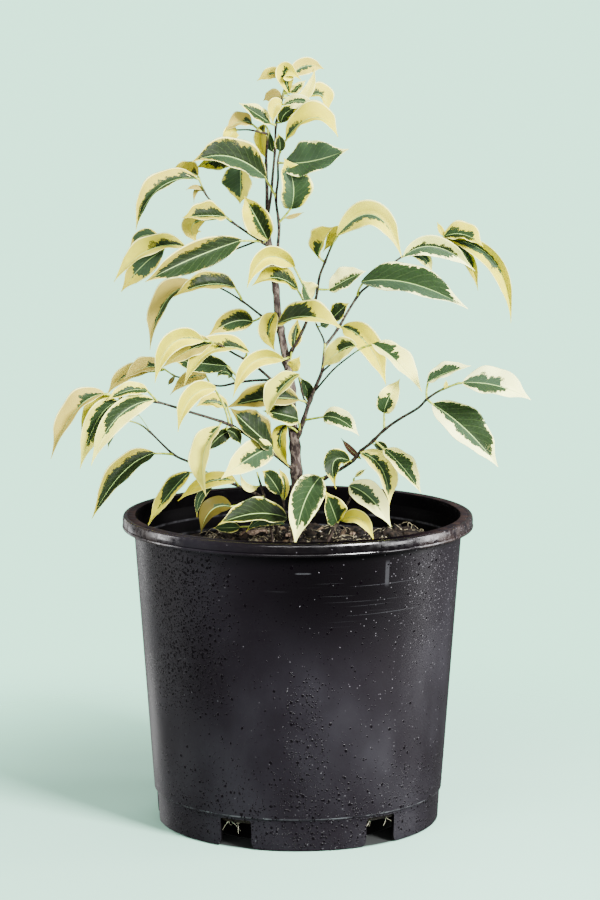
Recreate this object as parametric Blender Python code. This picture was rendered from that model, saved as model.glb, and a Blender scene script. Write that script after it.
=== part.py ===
"""A young weeping fig with cream-edged leaves in a round black nursery pot.

Blender 4.5, metres, +Z up. The origin is the centre of the pot's base, on the ground, and -Y is the front.
The pot and the mix are turned shapes. The plant is laid out as it is seen from the front: every point of a
stem or a leaf is a place in the front picture, in its pixels, with a distance behind the trunk.
"""
from collections import namedtuple
from math import cos, pi, radians, sin

import bmesh
import bpy
from mathutils import Vector

MM = 0.001
GAP = 0.0003
TRUNK_GAP = 0.00036

# Pot
RIM_RADIUS = 0.105
POT_HEIGHT = 0.185
WALL = 0.0018
WALL_TOP_RADIUS = 0.0981
SEAM_RADIUS = 0.0868
SEAM_HEIGHT = 0.019
SKIRT_TOP_RADIUS = 0.0858
FOOT_RADIUS = 0.0848
RIM_DEPTH = 0.008
RIM_LIP = 0.0020
EDGE_ROUND = 0.0012
SHELF = 0.0145
FLOOR = 0.0025
DISH_RADIUS = 0.0625
DISH_SLOPE = 0.0015
POT_SIDES = 40
NOTCHES = 6
NOTCH_WIDTH = 0.020
NOTCH_HEIGHT = 0.0172
NOTCH_TURN = radians(4.2)
NOTCH_REACH = 0.0080
NOTCH_FLARE = 0.0018
NOTCH_BELOW = 0.004

# Potting mix
MIX_EDGE = 0.1575
MIX_MOUND = 0.009
MIX_LUMP = 0.0012
MIX_RINGS = 4
HOLE_ROOM = 0.0006
HOLE_POINTS = 3

# Leaves and stems
BLADE = 0.0010
BLADE_ROWS = (0.0, 0.12, 0.32, 0.56, 0.80, 1.0)
SMALL_ROWS = (0.0, 0.30, 0.70, 1.0)
SMALL_WIDTH = 14
BLADE_END = 0.0006
PETIOLE = 0.0008
PETIOLE_FOOT = 0.0004
PETIOLE_BOW = 0.12
LONG_PETIOLE = 0.009
LEAF_SWELL = 0.75
LEAF_TAPER = 1.35
MIDRIB_STEP = 0.02
STEM_SIDES = 5
TRUNK_SIDES = 8
SHARP_ANGLE = radians(40)

# The front picture: where the eye is, how far it looks down, and its scale and centre in pixels
EYE = Vector((0.0013, -1.882, 0.511))
LOOK_DOWN = radians(8.7)
FOCAL_PIXELS = 3190.0
CENTRE_X = 300.0
CENTRE_Y = 450.0

# A point of the plant is (x, y, back): its pixel in the front picture, and the mm that it lies behind the
# pot's axis. Radii and leaf widths are in mm. A stem's route runs from its foot outwards.
Stem = namedtuple("Stem", "foot tip route")
# turn swings the blade about its midrib, 0 with the upper face to the front and more than 0 with the right
# half to the front. fold raises each half above the flat. joint is the place on the stem where the petiole
# starts, where that isn't the nearest one.
Leaf = namedtuple("Leaf", "base middle tip width turn fold joint", defaults=(None,))

TRUNK = Stem(4.4, 1.7, [
    (296, 560, 0), (296, 545, 0), (297, 515, 0), (297, 488, 1), (295, 447, 1), (292, 420, 0), (291, 400, 0),
    (290, 378, 0), (286, 358, 0), (282, 338, 0), (278, 315, 0), (276, 290, 0), (272, 262, 0), (269, 245, 0),
    (268, 216, 0)])

LEAFY_STEMS = {
    "leading_shoots": (
        [Stem(1.7, 0.9, [(268, 220, 0), (267, 205, 1), (267, 190, 3), (266, 165, 4), (267, 145, 2), (268, 130, 0)]),
         Stem(1.2, 0.8, [(268, 214, 0), (271, 195, -2), (273, 172, -3), (275, 150, -3), (276, 125, -3),
                         (280, 108, -3), (283, 95, -3), (286, 84, -3)]),
         Stem(0.9, 0.6, [(268, 134, 0), (250, 130, -2), (236, 130, -3)])],
        [Leaf((289, 78, -3), (305, 66, 2), (324, 69, 8), 12, 0, 30),
         Leaf((290, 94, -4), (286, 71, -6), (301, 80, -12), 14, 0, 35),
         Leaf((291, 93, -5), (298, 87, -8), (306, 80, -10), 6, 0, 20),
         Leaf((295, 97, -2), (308, 91, 0), (315, 67, 2), 7, 0, 25),
         Leaf((281, 76, -3), (271, 74, -2), (257, 81, 0), 9, 20, 30),
         Leaf((281, 99, 0), (273, 96, 6), (263, 101, 10), 9, 20, 30),
         Leaf((309, 97, 2), (322, 96, 6), (328, 112, 8), 16, -40, 30, (284, 98)),
         Leaf((284, 105, -6), (299, 101, -11), (316, 106, -13), 10, 0, 30),
         Leaf((281, 123, -5), (287, 112, -8), (301, 107, -9), 10, 0, 30),
         Leaf((271, 124, -5), (256, 114, -9), (239, 103, -12), 12, 40, 25),
         Leaf((282, 105, -5), (275, 107, -8), (273, 124, -8), 10, 10, 30),
         Leaf((252, 124, -2), (240, 122, -6), (226, 131, -8), 14, 45, 25, (262, 131)),
         Leaf((236, 131, -3), (231, 134, -6), (223, 145, -6), 11, 10, 30),
         Leaf((265, 124, 3), (262, 140, 7), (267, 160, 10), 10, 25, 30),
         Leaf((273, 152, 1), (270, 143, 6), (270, 130, 9), 6, 0, 30),
         Leaf((238, 160, -5), (216, 160, -6), (196, 168, -8), 13, -20, 35, (266, 165)),
         Leaf((240, 162, -3), (241, 182, -1), (240, 204, 3), 23, 30, 30, (266, 168))]),
    "upper_front_shoot": (
        [Stem(1.5, 0.8, [(275, 288, 0), (277, 262, -6), (278, 245, -8), (279, 225, -9), (276, 200, -10),
                         (278, 180, -10), (278, 162, -10), (280, 152, -10), (285, 141, -10)])],
        [Leaf((266, 178, -14), (230, 157, -30), (192, 162, -42), 25, 32, 32, (276, 198)),
         Leaf((291, 209, -13), (293, 184, -24), (284, 158, -18), 23, 25, 27, (279, 223)),
         Leaf((284, 163, -12), (314, 161, -28), (349, 149, -40), 26, -29, 29),
         Leaf((286, 140, -11), (314, 118, -24), (338, 137, -28), 22, -50, 30),
         Leaf((280, 151, -12), (280, 143, -14), (278, 133, -14), 7, 0, 20),
         Leaf((285, 218, -10), (294, 216, -11), (304, 212, -12), 3, 0, 20, (279, 223))]),
    "upper_left_stem": (
        [Stem(1.2, 0.7, [(269, 247, 0), (259, 240, -6), (248, 233, -10), (227, 218, -17), (210, 200, -23),
                         (204, 191, -26), (199, 179, -29)]),
         Stem(0.9, 0.6, [(259, 240, -6), (244, 246, 2), (228, 250, 8), (192, 247, 13), (165, 243, 15)])],
        [Leaf((197, 178, -30), (158, 190, -42), (136, 230, -50), 19, 43, 43),
         Leaf((198, 176, -27), (186, 172, -26), (168, 173, -24), 15, 45, 30),
         Leaf((204, 190, -26), (195, 187, -27), (186, 190, -28), 3, 0, 20),
         Leaf((203, 191, -25), (196, 191, -23), (194, 203, -22), 3, 0, 20),
         Leaf((226, 217, -20), (205, 216, -28), (182, 218, -34), 19, 44, 34, (232, 221)),
         Leaf((206, 220, -16), (192, 226, -12), (197, 243, -10), 14, 0, 25, (226, 217)),
         Leaf((268, 240, -6), (256, 217, -15), (244, 196, -14), 18, -8, 25),
         Leaf((242, 240, -15), (191, 259, -36), (145, 282, -48), 20, 2, 28, (262, 242)),
         Leaf((186, 247, 10), (148, 251, 2), (114, 282, -4), 19, 45, 33),
         Leaf((160, 239, 18), (143, 236, 22), (129, 250, 24), 9, 15, 25),
         Leaf((164, 250, 14), (142, 266, 14), (121, 292, 12), 16, 0, 25)]),
    "second_left_stem": (
        [Stem(1.1, 0.7, [(279, 329, 0), (263, 317, 8), (242, 301, 22), (220, 288, 36), (205, 286, 44)])],
        [Leaf((198, 287, 44), (167, 300, 34), (150, 350, 26), 20, 43, 35),
         Leaf((236, 288, 24), (206, 285, 16), (174, 297, 8), 18, 42, 34, (242, 301)),
         Leaf((253, 322, 6), (232, 322, 0), (208, 336, -4), 16, 8, 30),
         Leaf((278, 324, -7), (309, 317, -46), (342, 329, -50), 22, -45, 33, (271, 323)),
         Leaf((276, 313, -2), (269, 330, -8), (275, 351, -9), 15, 15, 38, (269, 321))]),
    "middle_left_front_stem": (
        [Stem(1.3, 0.7, [(290, 392, 0), (281, 386, 0), (272, 380, -3), (258, 368, -14), (246, 360, -26),
                         (233, 353, -38), (220, 345, -50), (208, 341, -60)])],
        [Leaf((204, 341, -62), (172, 344, -76), (155, 383, -86), 16, 8, 42),
         Leaf((212, 344, -56), (190, 350, -56), (162, 368, -58), 17, 30, 30),
         Leaf((249, 352, -28), (212, 351, -52), (184, 385, -66), 19, 40, 36)]),
    "middle_left_back_stem": (
        [Stem(1.2, 0.7, [(289, 386, 0), (277, 382, 8), (264, 380, 15), (240, 382, 28), (220, 386, 40),
                         (202, 382, 48), (184, 378, 56), (175, 376, 60), (164, 369, 66)])],
        [Leaf((228, 366, 24), (200, 363, 22), (170, 359, 24), 15, 0, 38, (240, 382)),
         Leaf((207, 377, 42), (190, 378, 38), (170, 395, 34), 11, 10, 38),
         Leaf((232, 377, 28), (225, 372, 24), (217, 377, 20), 9, 30, 20),
         Leaf((161, 368, 66), (144, 368, 60), (124, 379, 54), 15, 38, 33),
         Leaf((150, 372, 70), (127, 375, 68), (107, 395, 66), 14, 20, 42, (164, 369)),
         Leaf((175, 376, 62), (171, 381, 62), (168, 385, 62), 3, 0, 20)]),
    "long_left_stem": (
        [Stem(1.5, 0.8, [(295, 471, 1), (286, 464, -7), (275, 455, -12), (262, 445, -18), (250, 437, -24),
                         (230, 425, -36), (210, 418, -46), (190, 412, -55), (178, 408, -60), (157, 402, -68),
                         (140, 400, -74), (122, 398, -80), (107, 394, -86)])],
        [Leaf((105, 394, -87), (76, 411, -94), (51, 459, -98), 19, 42, 40),
         Leaf((148, 391, -74), (128, 391, -82), (106, 401, -86), 11, 30, 33, (157, 401)),
         Leaf((154, 400, -71), (117, 418, -86), (91, 466, -92), 17, 5, 38),
         Leaf((118, 402, -80), (97, 421, -84), (80, 469, -84), 17, 0, 35),
         Leaf((109, 397, -84), (92, 407, -80), (81, 440, -76), 9, 20, 35),
         Leaf((216, 388, -46), (191, 398, -60), (178, 432, -70), 15, 10, 43, (229, 424)),
         Leaf((228, 408, -32), (212, 402, -34), (196, 407, -38), 12, 30, 33, (232, 426)),
         Leaf((220, 426, -42), (204, 455, -54), (206, 496, -56), 19, 40, 36),
         Leaf((234, 430, -34), (219, 437, -36), (206, 453, -38), 10, -20, 30),
         Leaf((226, 430, -38), (235, 434, -36), (241, 445, -34), 8, 0, 30),
         Leaf((273, 448, -18), (250, 428, -30), (230, 408, -28), 24, 42, 30, (268, 450)),
         Leaf((272, 446, -22), (248, 459, -42), (221, 479, -58), 20, 5, 30, (268, 450))]),
    "low_left_stem": (
        [Stem(1.6, 0.7, [(280, 546, 12), (277, 530, 13), (270, 508, 16), (260, 496, 20), (236, 485, 28),
                         (214, 477, 33), (191, 463, 36), (173, 454, 34), (150, 432, 28), (139, 424, 24),
                         (126, 420, 20)])],
        [Leaf((155, 453, 28), (122, 474, 16), (92, 519, 8), 19, 32, 34, (174, 454)),
         Leaf((190, 472, 30), (170, 493, 20), (147, 527, 12), 14, 25, 38, (207, 473)),
         Leaf((236, 481, 22), (208, 482, 14), (178, 501, 8), 14, 10, 46),
         Leaf((212, 488, 24), (200, 497, 20), (197, 517, 18), 6, 0, 30, (214, 477)),
         Leaf((120, 424, 20), (112, 433, 18), (108, 449, 17), 5, 0, 30),
         Leaf((139, 415, 26), (135, 414, 25), (130, 415, 24), 3, 0, 20, (150, 432))]),
    "left_foot_shoot": (
        [Stem(1.2, 0.8, [(274, 548, -10), (271, 530, -10), (268, 510, -10), (264, 495, -11), (262, 489, -12),
                         (257, 472, -13)]),
         Stem(0.9, 0.7, [(271, 522, -10), (279, 516, -11), (284, 506, -12), (282, 496, -12)])],
        [Leaf((287, 518, -17), (254, 514, -40), (218, 525, -54), 20, 33, 30, (279, 516)),
         Leaf((232, 507, -18), (212, 510, -22), (201, 533, -26), 15, 20, 38, (264, 496)),
         Leaf((284, 524, -16), (264, 519, -22), (246, 532, -26), 9, -15, 30, (272, 520)),
         Leaf((240, 527, -18), (227, 528, -22), (213, 528, -24), 8, 20, 25, (270, 525)),
         Leaf((281, 495, -14), (271, 479, -18), (262, 471, -20), 12, 10, 25),
         Leaf((284, 500, -11), (284, 482, -10), (279, 469, -9), 7, 0, 30),
         Leaf((258, 486, -12), (247, 487, -14), (240, 473, -15), 5, 0, 20)]),
    "upper_right_stem": (
        [Stem(1.5, 0.8, [(287, 362, 0), (292, 350, -5), (297, 342, -8), (306, 323, -13), (312, 306, -18),
                         (316, 298, -21), (318, 285, -25), (320, 275, -28), (325, 262, -33), (332, 245, -39),
                         (338, 235, -42)])],
        [Leaf((337, 236, -43), (374, 215, -56), (402, 258, -66), 19, -5, 36),
         Leaf((318, 257, -31), (324, 240, -42), (333, 227, -56), 19, -45, 38),
         Leaf((340, 226, -41), (334, 236, -36), (323, 252, -30), 8, 30, 25),
         Leaf((329, 290, -24), (347, 280, -30), (366, 271, -34), 17, -35, 30),
         Leaf((295, 267, -28), (266, 258, -46), (247, 288, -58), 16, 0, 42, (311, 307)),
         Leaf((298, 290, -22), (276, 278, -34), (252, 286, -40), 16, 42, 30, (309, 313)),
         Leaf((311, 300, -20), (306, 291, -30), (302, 280, -40), 15, 35, 25),
         Leaf((294, 349, 1), (295, 337, 7), (298, 317, 11), 10, 0, 30),
         Leaf((284, 360, -12), (252, 363, -30), (233, 398, -38), 15, 0, 48, (289, 357)),
         Leaf((291, 368, -10), (295, 364, -13), (300, 356, -16), 9, 0, 25, (292, 350))]),
    "long_right_stem": (
        [Stem(2.2, 1.2, [(293, 448, 1), (297, 438, 0), (303, 422, -2), (309, 403, 0), (316, 386, 4), (322, 371, 8),
                         (324, 355, 12), (325, 344, 15)]),
         Stem(1.2, 0.7, [(325, 346, 15), (337, 330, 22), (350, 308, 30), (360, 293, 36), (368, 286, 40),
                         (384, 272, 48), (400, 258, 56), (420, 249, 64), (436, 241, 71), (445, 237, 75)]),
         Stem(0.9, 0.6, [(325, 346, 15), (323, 338, 15), (318, 328, 14), (315, 321, 13)]),
         Stem(0.9, 0.6, [(321, 373, 8), (332, 363, 0), (341, 356, -8), (347, 349, -14), (351, 340, -18)]),
         Stem(0.9, 0.6, [(315, 391, 3), (333, 370, -10), (350, 356, -22), (360, 349, -28)]),
         Stem(0.9, 0.7, [(308, 406, 0), (303, 396, -6), (299, 378, -12)])],
        [Leaf((299, 374, -14), (279, 392, -30), (267, 416, -36), 19, 40, 38),
         Leaf((299, 400, -11), (265, 399, -15), (226, 408, -14), 22, 30, 38, (306, 402)),
         Leaf((298, 419, -9), (283, 415, -13), (263, 411, -12), 20, 35, 28, (300, 432)),
         Leaf((287, 425, -9), (280, 442, -13), (289, 467, -10), 12, 20, 30, (299, 434)),
         Leaf((307, 400, 4), (307, 390, 9), (300, 377, 12), 9, 0, 25),
         Leaf((323, 417, -12), (341, 420, -24), (359, 436, -30), 14, -15, 30, (304, 420)),
         Leaf((357, 346, -20), (340, 351, -14), (322, 368, -6), 16, 20, 30),
         Leaf((372, 344, -32), (397, 362, -42), (422, 392, -48), 19, -42, 34),
         Leaf((342, 327, 22), (368, 345, 6), (386, 385, -2), 19, -10, 35),
         Leaf((332, 319, 18), (340, 311, 14), (349, 303, 10), 12, -25, 22),
         Leaf((361, 282, 32), (412, 284, 16), (468, 309, 6), 25, -32, 30, (358, 297)),
         Leaf((403, 257, 57), (436, 247, 62), (475, 271, 68), 17, -5, 40),
         Leaf((412, 256, 60), (424, 258, 64), (432, 272, 68), 9, 0, 30),
         Leaf((443, 237, 74), (464, 235, 68), (483, 247, 64), 18, -40, 33),
         Leaf((447, 239, 75), (495, 262, 66), (511, 323, 60), 16, 10, 46),
         Leaf((446, 241, 77), (467, 257, 82), (478, 291, 86), 13, 0, 52),
         Leaf((444, 236, 75), (441, 230, 76), (437, 222, 78), 4, 0, 20),
         Leaf((321, 326, 12), (326, 323, 10), (332, 321, 8), 6, 0, 25)]),
    "low_right_stem": (
        [Stem(1.6, 0.8, [(297, 496, 1), (308, 488, -1), (325, 478, -6), (350, 463, -16), (361, 451, -23),
                         (372, 442, -30), (383, 431, -37), (398, 420, -44), (418, 408, -54), (427, 399, -60),
                         (441, 390, -66), (459, 383, -73)])],
        [Leaf((427, 383, -61), (447, 373, -66), (471, 366, -72), 14, -42, 36, (427, 399)),
         Leaf((462, 383, -74), (497, 386, -82), (531, 400, -88), 22, -30, 32),
         Leaf((432, 404, -60), (467, 431, -72), (498, 467, -78), 25, -27, 27),
         Leaf((384, 413, -37), (389, 398, -41), (400, 379, -36), 14, -8, 30, (384, 430)),
         Leaf((361, 453, -24), (382, 470, -36), (389, 506, -42), 19, -35, 30),
         Leaf((384, 449, -33), (403, 468, -46), (421, 493, -52), 17, -35, 32, (374, 440)),
         Leaf((374, 445, -31), (381, 446, -30), (389, 449, -28), 6, 0, 20),
         Leaf((320, 477, -9), (304, 504, -36), (295, 545, -52), 23, 0, 34),
         Leaf((350, 461, -19), (334, 462, -24), (336, 489, -28), 15, 10, 38),
         Leaf((361, 459, -19), (351, 450, -16), (341, 438, -12), 4, 0, 10),
         Leaf((445, 389, -68), (446, 385, -69), (446, 380, -70), 3, 0, 20)]),
    "right_foot_shoot": (
        [Stem(1.2, 0.7, [(322, 556, -14), (326, 545, -14), (336, 526, -12), (345, 508, -10), (352, 494, -8),
                         (354, 478, -6)])],
        [Leaf((349, 486, -12), (371, 499, -24), (391, 527, -32), 19, -15, 32),
         Leaf((337, 522, -14), (332, 508, -26), (325, 491, -38), 17, 20, 30),
         Leaf((342, 521, -13), (360, 519, -22), (374, 541, -26), 11, -10, 38),
         Leaf((355, 477, -6), (360, 473, -5), (366, 469, -4), 3, 0, 20)]),
}


def seen(x, y, back):
    """The point that shows at pixel (x, y) of the front picture and lies this many mm behind the axis."""
    ahead = Vector((0.0, cos(LOOK_DOWN), -sin(LOOK_DOWN)))
    above = Vector((0.0, sin(LOOK_DOWN), cos(LOOK_DOWN)))
    aside = Vector((1.0, 0.0, 0.0))
    ray = ahead + aside * ((x - CENTRE_X) / FOCAL_PIXELS) + above * ((CENTRE_Y - y) / FOCAL_PIXELS)
    return EYE + ray * ((back * MM - EYE.y) / ray.y)


def new_object(name, bm):
    """Turn a bmesh into an object of this name, with every face pointing out."""
    bmesh.ops.recalc_face_normals(bm, faces=bm.faces)
    mesh = bpy.data.meshes.new(name)
    bm.to_mesh(mesh)
    bm.free()
    thing = bpy.data.objects.new(name, mesh)
    bpy.context.scene.collection.objects.link(thing)
    return thing


def remove_object(thing):
    mesh = thing.data
    bpy.data.objects.remove(thing, do_unlink=True)
    bpy.data.meshes.remove(mesh)


def settle(thing):
    """Apply the modifiers that an object has."""
    graph = bpy.context.evaluated_depsgraph_get()
    mesh = bpy.data.meshes.new_from_object(thing.evaluated_get(graph))
    old = thing.data
    thing.modifiers.clear()
    thing.data = mesh
    bpy.data.meshes.remove(old)


def combine(thing, others, operation):
    """Join the others to a thing, or cut them out of it, in one Boolean on a collection."""
    group = bpy.data.collections.new(thing.name + "_pieces")
    bpy.context.scene.collection.children.link(group)
    for other in others:
        bpy.context.scene.collection.objects.unlink(other)
        group.objects.link(other)
    boolean = thing.modifiers.new("combine", 'BOOLEAN')
    boolean.operation = operation
    boolean.solver = 'MANIFOLD'
    boolean.operand_type = 'COLLECTION'
    boolean.collection = group
    settle(thing)
    for other in others:
        remove_object(other)
    bpy.data.collections.remove(group)


def plain_material(thing, colour, roughness):
    material = bpy.data.materials.new(thing.name)
    material.use_nodes = True
    shader = material.node_tree.nodes["Principled BSDF"]
    shader.inputs["Base Color"].default_value = (*colour, 1.0)
    shader.inputs["Roughness"].default_value = roughness
    shader.inputs["Metallic"].default_value = 0.0
    thing.data.materials.clear()
    thing.data.materials.append(material)


def bridge(bm, rings):
    """Skin a row of equal rings of points with triangles, split the same way all along."""
    count = len(rings[0])
    for low, high in zip(rings, rings[1:]):
        for i in range(count):
            j = (i + 1) % count
            bm.faces.new((low[i], low[j], high[j]))
            bm.faces.new((low[i], high[j], high[i]))


def turned(name, profile, sides):
    """Turn a profile of (radius, height) points, both ends on the axis, once round +Z."""
    bm = bmesh.new()
    bottom = bm.verts.new((0.0, 0.0, profile[0][1]))
    top = bm.verts.new((0.0, 0.0, profile[-1][1]))
    rings = []
    for radius, height in profile[1:-1]:
        turns = [2 * pi * i / sides for i in range(sides)]
        rings.append([bm.verts.new((radius * cos(a), radius * sin(a), height)) for a in turns])
    bridge(bm, rings)
    for i in range(sides):
        j = (i + 1) % sides
        bm.faces.new((bottom, rings[0][j], rings[0][i]))
        bm.faces.new((top, rings[-1][i], rings[-1][j]))
    return new_object(name, bm)


def smooth_route(points, steps):
    """A Catmull-Rom curve through the points, with this many steps from each to the next."""
    ends = [points[0] * 2 - points[1]] + points + [points[-1] * 2 - points[-2]]
    route = []
    for a, b, c, d in zip(ends, ends[1:], ends[2:], ends[3:]):
        for step in range(steps):
            t = step / steps
            route.append(0.5 * (2 * b + (c - a) * t + (2 * a - 5 * b + 4 * c - d) * t ** 2
                                + (3 * b - a - 3 * c + d) * t ** 3))
    return route + [points[-1]]


def tube(name, route, foot, tip, sides):
    """A round stem along a route, from its foot's radius to its tip's."""
    bm = bmesh.new()
    across = (route[1] - route[0]).orthogonal().normalized()
    rings = []
    last = len(route) - 1
    for i, point in enumerate(route):
        along = (route[min(i + 1, last)] - route[max(i - 1, 0)]).normalized()
        across = (across - along * across.dot(along)).normalized()
        over = along.cross(across)
        radius = foot + (tip - foot) * i / last
        turns = [2 * pi * k / sides for k in range(sides)]
        rings.append([bm.verts.new(point + (across * cos(a) + over * sin(a)) * radius) for a in turns])
    bridge(bm, rings)
    for ring in (rings[0], rings[-1]):
        for k in range(1, sides - 1):
            bm.faces.new((ring[0], ring[k], ring[k + 1]))
    return new_object(name, bm)


def stem_route(stem, steps=1):
    return smooth_route([seen(*point) for point in stem.route], steps)


def midrib_point(leaf, u):
    """The midrib is a bow through the leaf's base, middle and tip."""
    base = seen(*leaf.base)
    middle = seen(*leaf.middle)
    tip = seen(*leaf.tip)
    bow = middle * 2 - (base + tip) / 2
    return base * (1 - u) ** 2 + bow * 2 * u * (1 - u) + tip * u ** 2


def half_width(leaf, u):
    """Half the blade's width: fullest a third of the way along, and drawn out to a long tip."""
    fullest = LEAF_SWELL / (LEAF_SWELL + LEAF_TAPER)
    full = fullest ** LEAF_SWELL * (1 - fullest) ** LEAF_TAPER
    return leaf.width * MM / 2 * u ** LEAF_SWELL * (1 - u) ** LEAF_TAPER / full


def nearest_on(routes, point):
    """The place nearest to a point on any of the routes."""
    best = None
    for route in routes:
        for a, b in zip(route, route[1:]):
            share = (point - a).dot(b - a) / (b - a).length_squared
            place = a + (b - a) * min(max(share, 0.0), 1.0)
            if best is None or (place - point).length < (best - point).length:
                best = place
    return best


def nearest_seen(routes, joint, back):
    """The place on the routes that shows nearest to a pixel of the front picture."""
    best = None
    for route in routes:
        for a, b in zip(route, route[1:]):
            for k in range(11):
                place = a + (b - a) * k / 10
                line = seen(joint[0], joint[1], place.y / MM)
                if best is None or (place - line).length < best[0]:
                    best = ((place - line).length, place)
    return best[1]


def leaf_foot(leaf, routes):
    """Where the leaf's petiole starts: on the centre line of its stem, short of the stem's end."""
    routes = [route[:-1] + [route[-1] + (route[-2] - route[-1]).normalized() * PETIOLE] for route in routes]
    if leaf.joint:
        return nearest_seen(routes, leaf.joint, leaf.base[2])
    return nearest_on(routes, midrib_point(leaf, 0.0))


def leaf_rows(leaf, foot):
    """The places, directions, half widths and depths along a leaf: its petiole, then its blade."""
    base = midrib_point(leaf, 0.0)
    reach = (base - foot).length
    rise = (base - foot).normalized()
    rows = [(foot, rise, PETIOLE_FOOT, 2 * PETIOLE_FOOT)]
    if reach > LONG_PETIOLE:
        out = (base - midrib_point(leaf, MIDRIB_STEP)).normalized()
        rows.append(((foot + base) / 2 + out * (reach * PETIOLE_BOW), rise, PETIOLE, BLADE))
    for u in BLADE_ROWS if leaf.width > SMALL_WIDTH else SMALL_ROWS:
        ahead = midrib_point(leaf, min(u + MIDRIB_STEP, 1))
        along = (ahead - midrib_point(leaf, max(u - MIDRIB_STEP, 0))).normalized()
        if u == 0:
            along = (along + rise).normalized()
        least = PETIOLE if u == 0 else BLADE_END
        rows.append((midrib_point(leaf, u), along, max(half_width(leaf, u), least), BLADE))
    return rows


def leaf_piece(name, leaf, routes):
    """A thin arched blade on its petiole, folded along its midrib and seen at the leaf's own turn."""
    bm = bmesh.new()
    rings = []
    turn = radians(leaf.turn)
    fold = radians(leaf.fold)
    for point, along, reach, depth in leaf_rows(leaf, leaf_foot(leaf, routes)):
        sight = (EYE - point).normalized()
        front = (sight - along * sight.dot(along)).normalized()
        side = along.cross(front)
        up = front * cos(turn) + side * sin(turn)
        right = side * cos(turn) - front * sin(turn)
        lift = up * (reach * sin(fold))
        spread = right * (reach * cos(fold))
        point = point + up * (depth / 2)
        upper = [point - spread + lift, point, point + spread + lift]
        lower = [corner - up * depth for corner in reversed(upper)]
        rings.append([bm.verts.new(corner) for corner in upper + lower])
    for low, high in zip(rings, rings[1:]):
        for i, j in ((0, 1), (1, 2)):
            bm.faces.new((low[i], low[j], high[j]))
            bm.faces.new((low[i], high[j], high[i]))
            bm.faces.new((low[5 - i], high[5 - j], low[5 - j]))
            bm.faces.new((low[5 - i], high[5 - i], high[5 - j]))
        for i, j in ((2, 3), (5, 0)):
            bm.faces.new((low[i], low[j], high[j]))
            bm.faces.new((low[i], high[j], high[i]))
    for ring in (rings[0], rings[-1]):
        bm.faces.new((ring[0], ring[1], ring[4], ring[5]))
        bm.faces.new((ring[1], ring[2], ring[3], ring[4]))
    return new_object(name, bm)


def make_leafy_stem(name, stems, leaves, trunk_room):
    """One stem with its side twigs and its leaves, all one body, seated against the trunk."""
    routes = [stem_route(stem) for stem in stems]
    pieces = [tube(name, route, stem.foot * MM, stem.tip * MM, STEM_SIDES) for route, stem in zip(routes, stems)]
    pieces += [leaf_piece(name, leaf, routes) for leaf in leaves]
    whole = pieces[0]
    combine(whole, pieces[1:], 'UNION')
    combine(whole, [trunk_room()], 'DIFFERENCE')
    drop_scraps(whole)
    whole.name = name
    whole.data.name = name
    return whole


def drop_scraps(thing):
    """Keep the largest of the bodies that a mesh has, counting faces as joined across their edges."""
    bm = bmesh.new()
    bm.from_mesh(thing.data)
    left = set(bm.faces)
    bodies = []
    while left:
        body = []
        reached = [left.pop()]
        while reached:
            face = reached.pop()
            body.append(face)
            for edge in face.edges:
                for other in edge.link_faces:
                    if other in left:
                        left.remove(other)
                        reached.append(other)
        bodies.append(body)
    bodies.sort(key=len)
    for body in bodies[:-1]:
        bmesh.ops.delete(bm, geom=body, context='FACES')
    bm.to_mesh(thing.data)
    bm.free()


def make_pot():
    """The moulded pot: rolled rim, tapered wall, seam, skirt, raised shelf and dished floor."""
    rim_under = POT_HEIGHT - RIM_DEPTH
    lip_inner = RIM_RADIUS - RIM_LIP
    flange = POT_HEIGHT - RIM_LIP
    profile = [
        (0.0, 0.0),
        (DISH_RADIUS + WALL, 0.0),
        (DISH_RADIUS + WALL + DISH_SLOPE, SHELF - WALL),
        (FOOT_RADIUS - WALL, SHELF - WALL),
        (FOOT_RADIUS - WALL, 0.0),
        (FOOT_RADIUS, 0.0),
        (SKIRT_TOP_RADIUS, SEAM_HEIGHT - EDGE_ROUND),
        (SEAM_RADIUS, SEAM_HEIGHT),
        (WALL_TOP_RADIUS, rim_under),
        (WALL_TOP_RADIUS, flange),
        (lip_inner, flange),
        (lip_inner, rim_under),
        (RIM_RADIUS - EDGE_ROUND, rim_under),
        (RIM_RADIUS, rim_under + EDGE_ROUND),
        (RIM_RADIUS, POT_HEIGHT - EDGE_ROUND),
        (RIM_RADIUS - EDGE_ROUND, POT_HEIGHT),
        (WALL_TOP_RADIUS, POT_HEIGHT),
        (WALL_TOP_RADIUS - WALL, POT_HEIGHT - EDGE_ROUND),
        (SEAM_RADIUS - WALL, SEAM_HEIGHT),
        (SKIRT_TOP_RADIUS - WALL, SHELF),
        (DISH_RADIUS + DISH_SLOPE, SHELF),
        (DISH_RADIUS, FLOOR),
        (0.0, FLOOR)]
    pot = turned("pot", profile, POT_SIDES)
    cutters = [notch_cutter(NOTCH_TURN + 2 * pi * (i + 0.5) / NOTCHES - pi / 2) for i in range(NOTCHES)]
    combine(pot, cutters, 'DIFFERENCE')
    return pot


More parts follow.
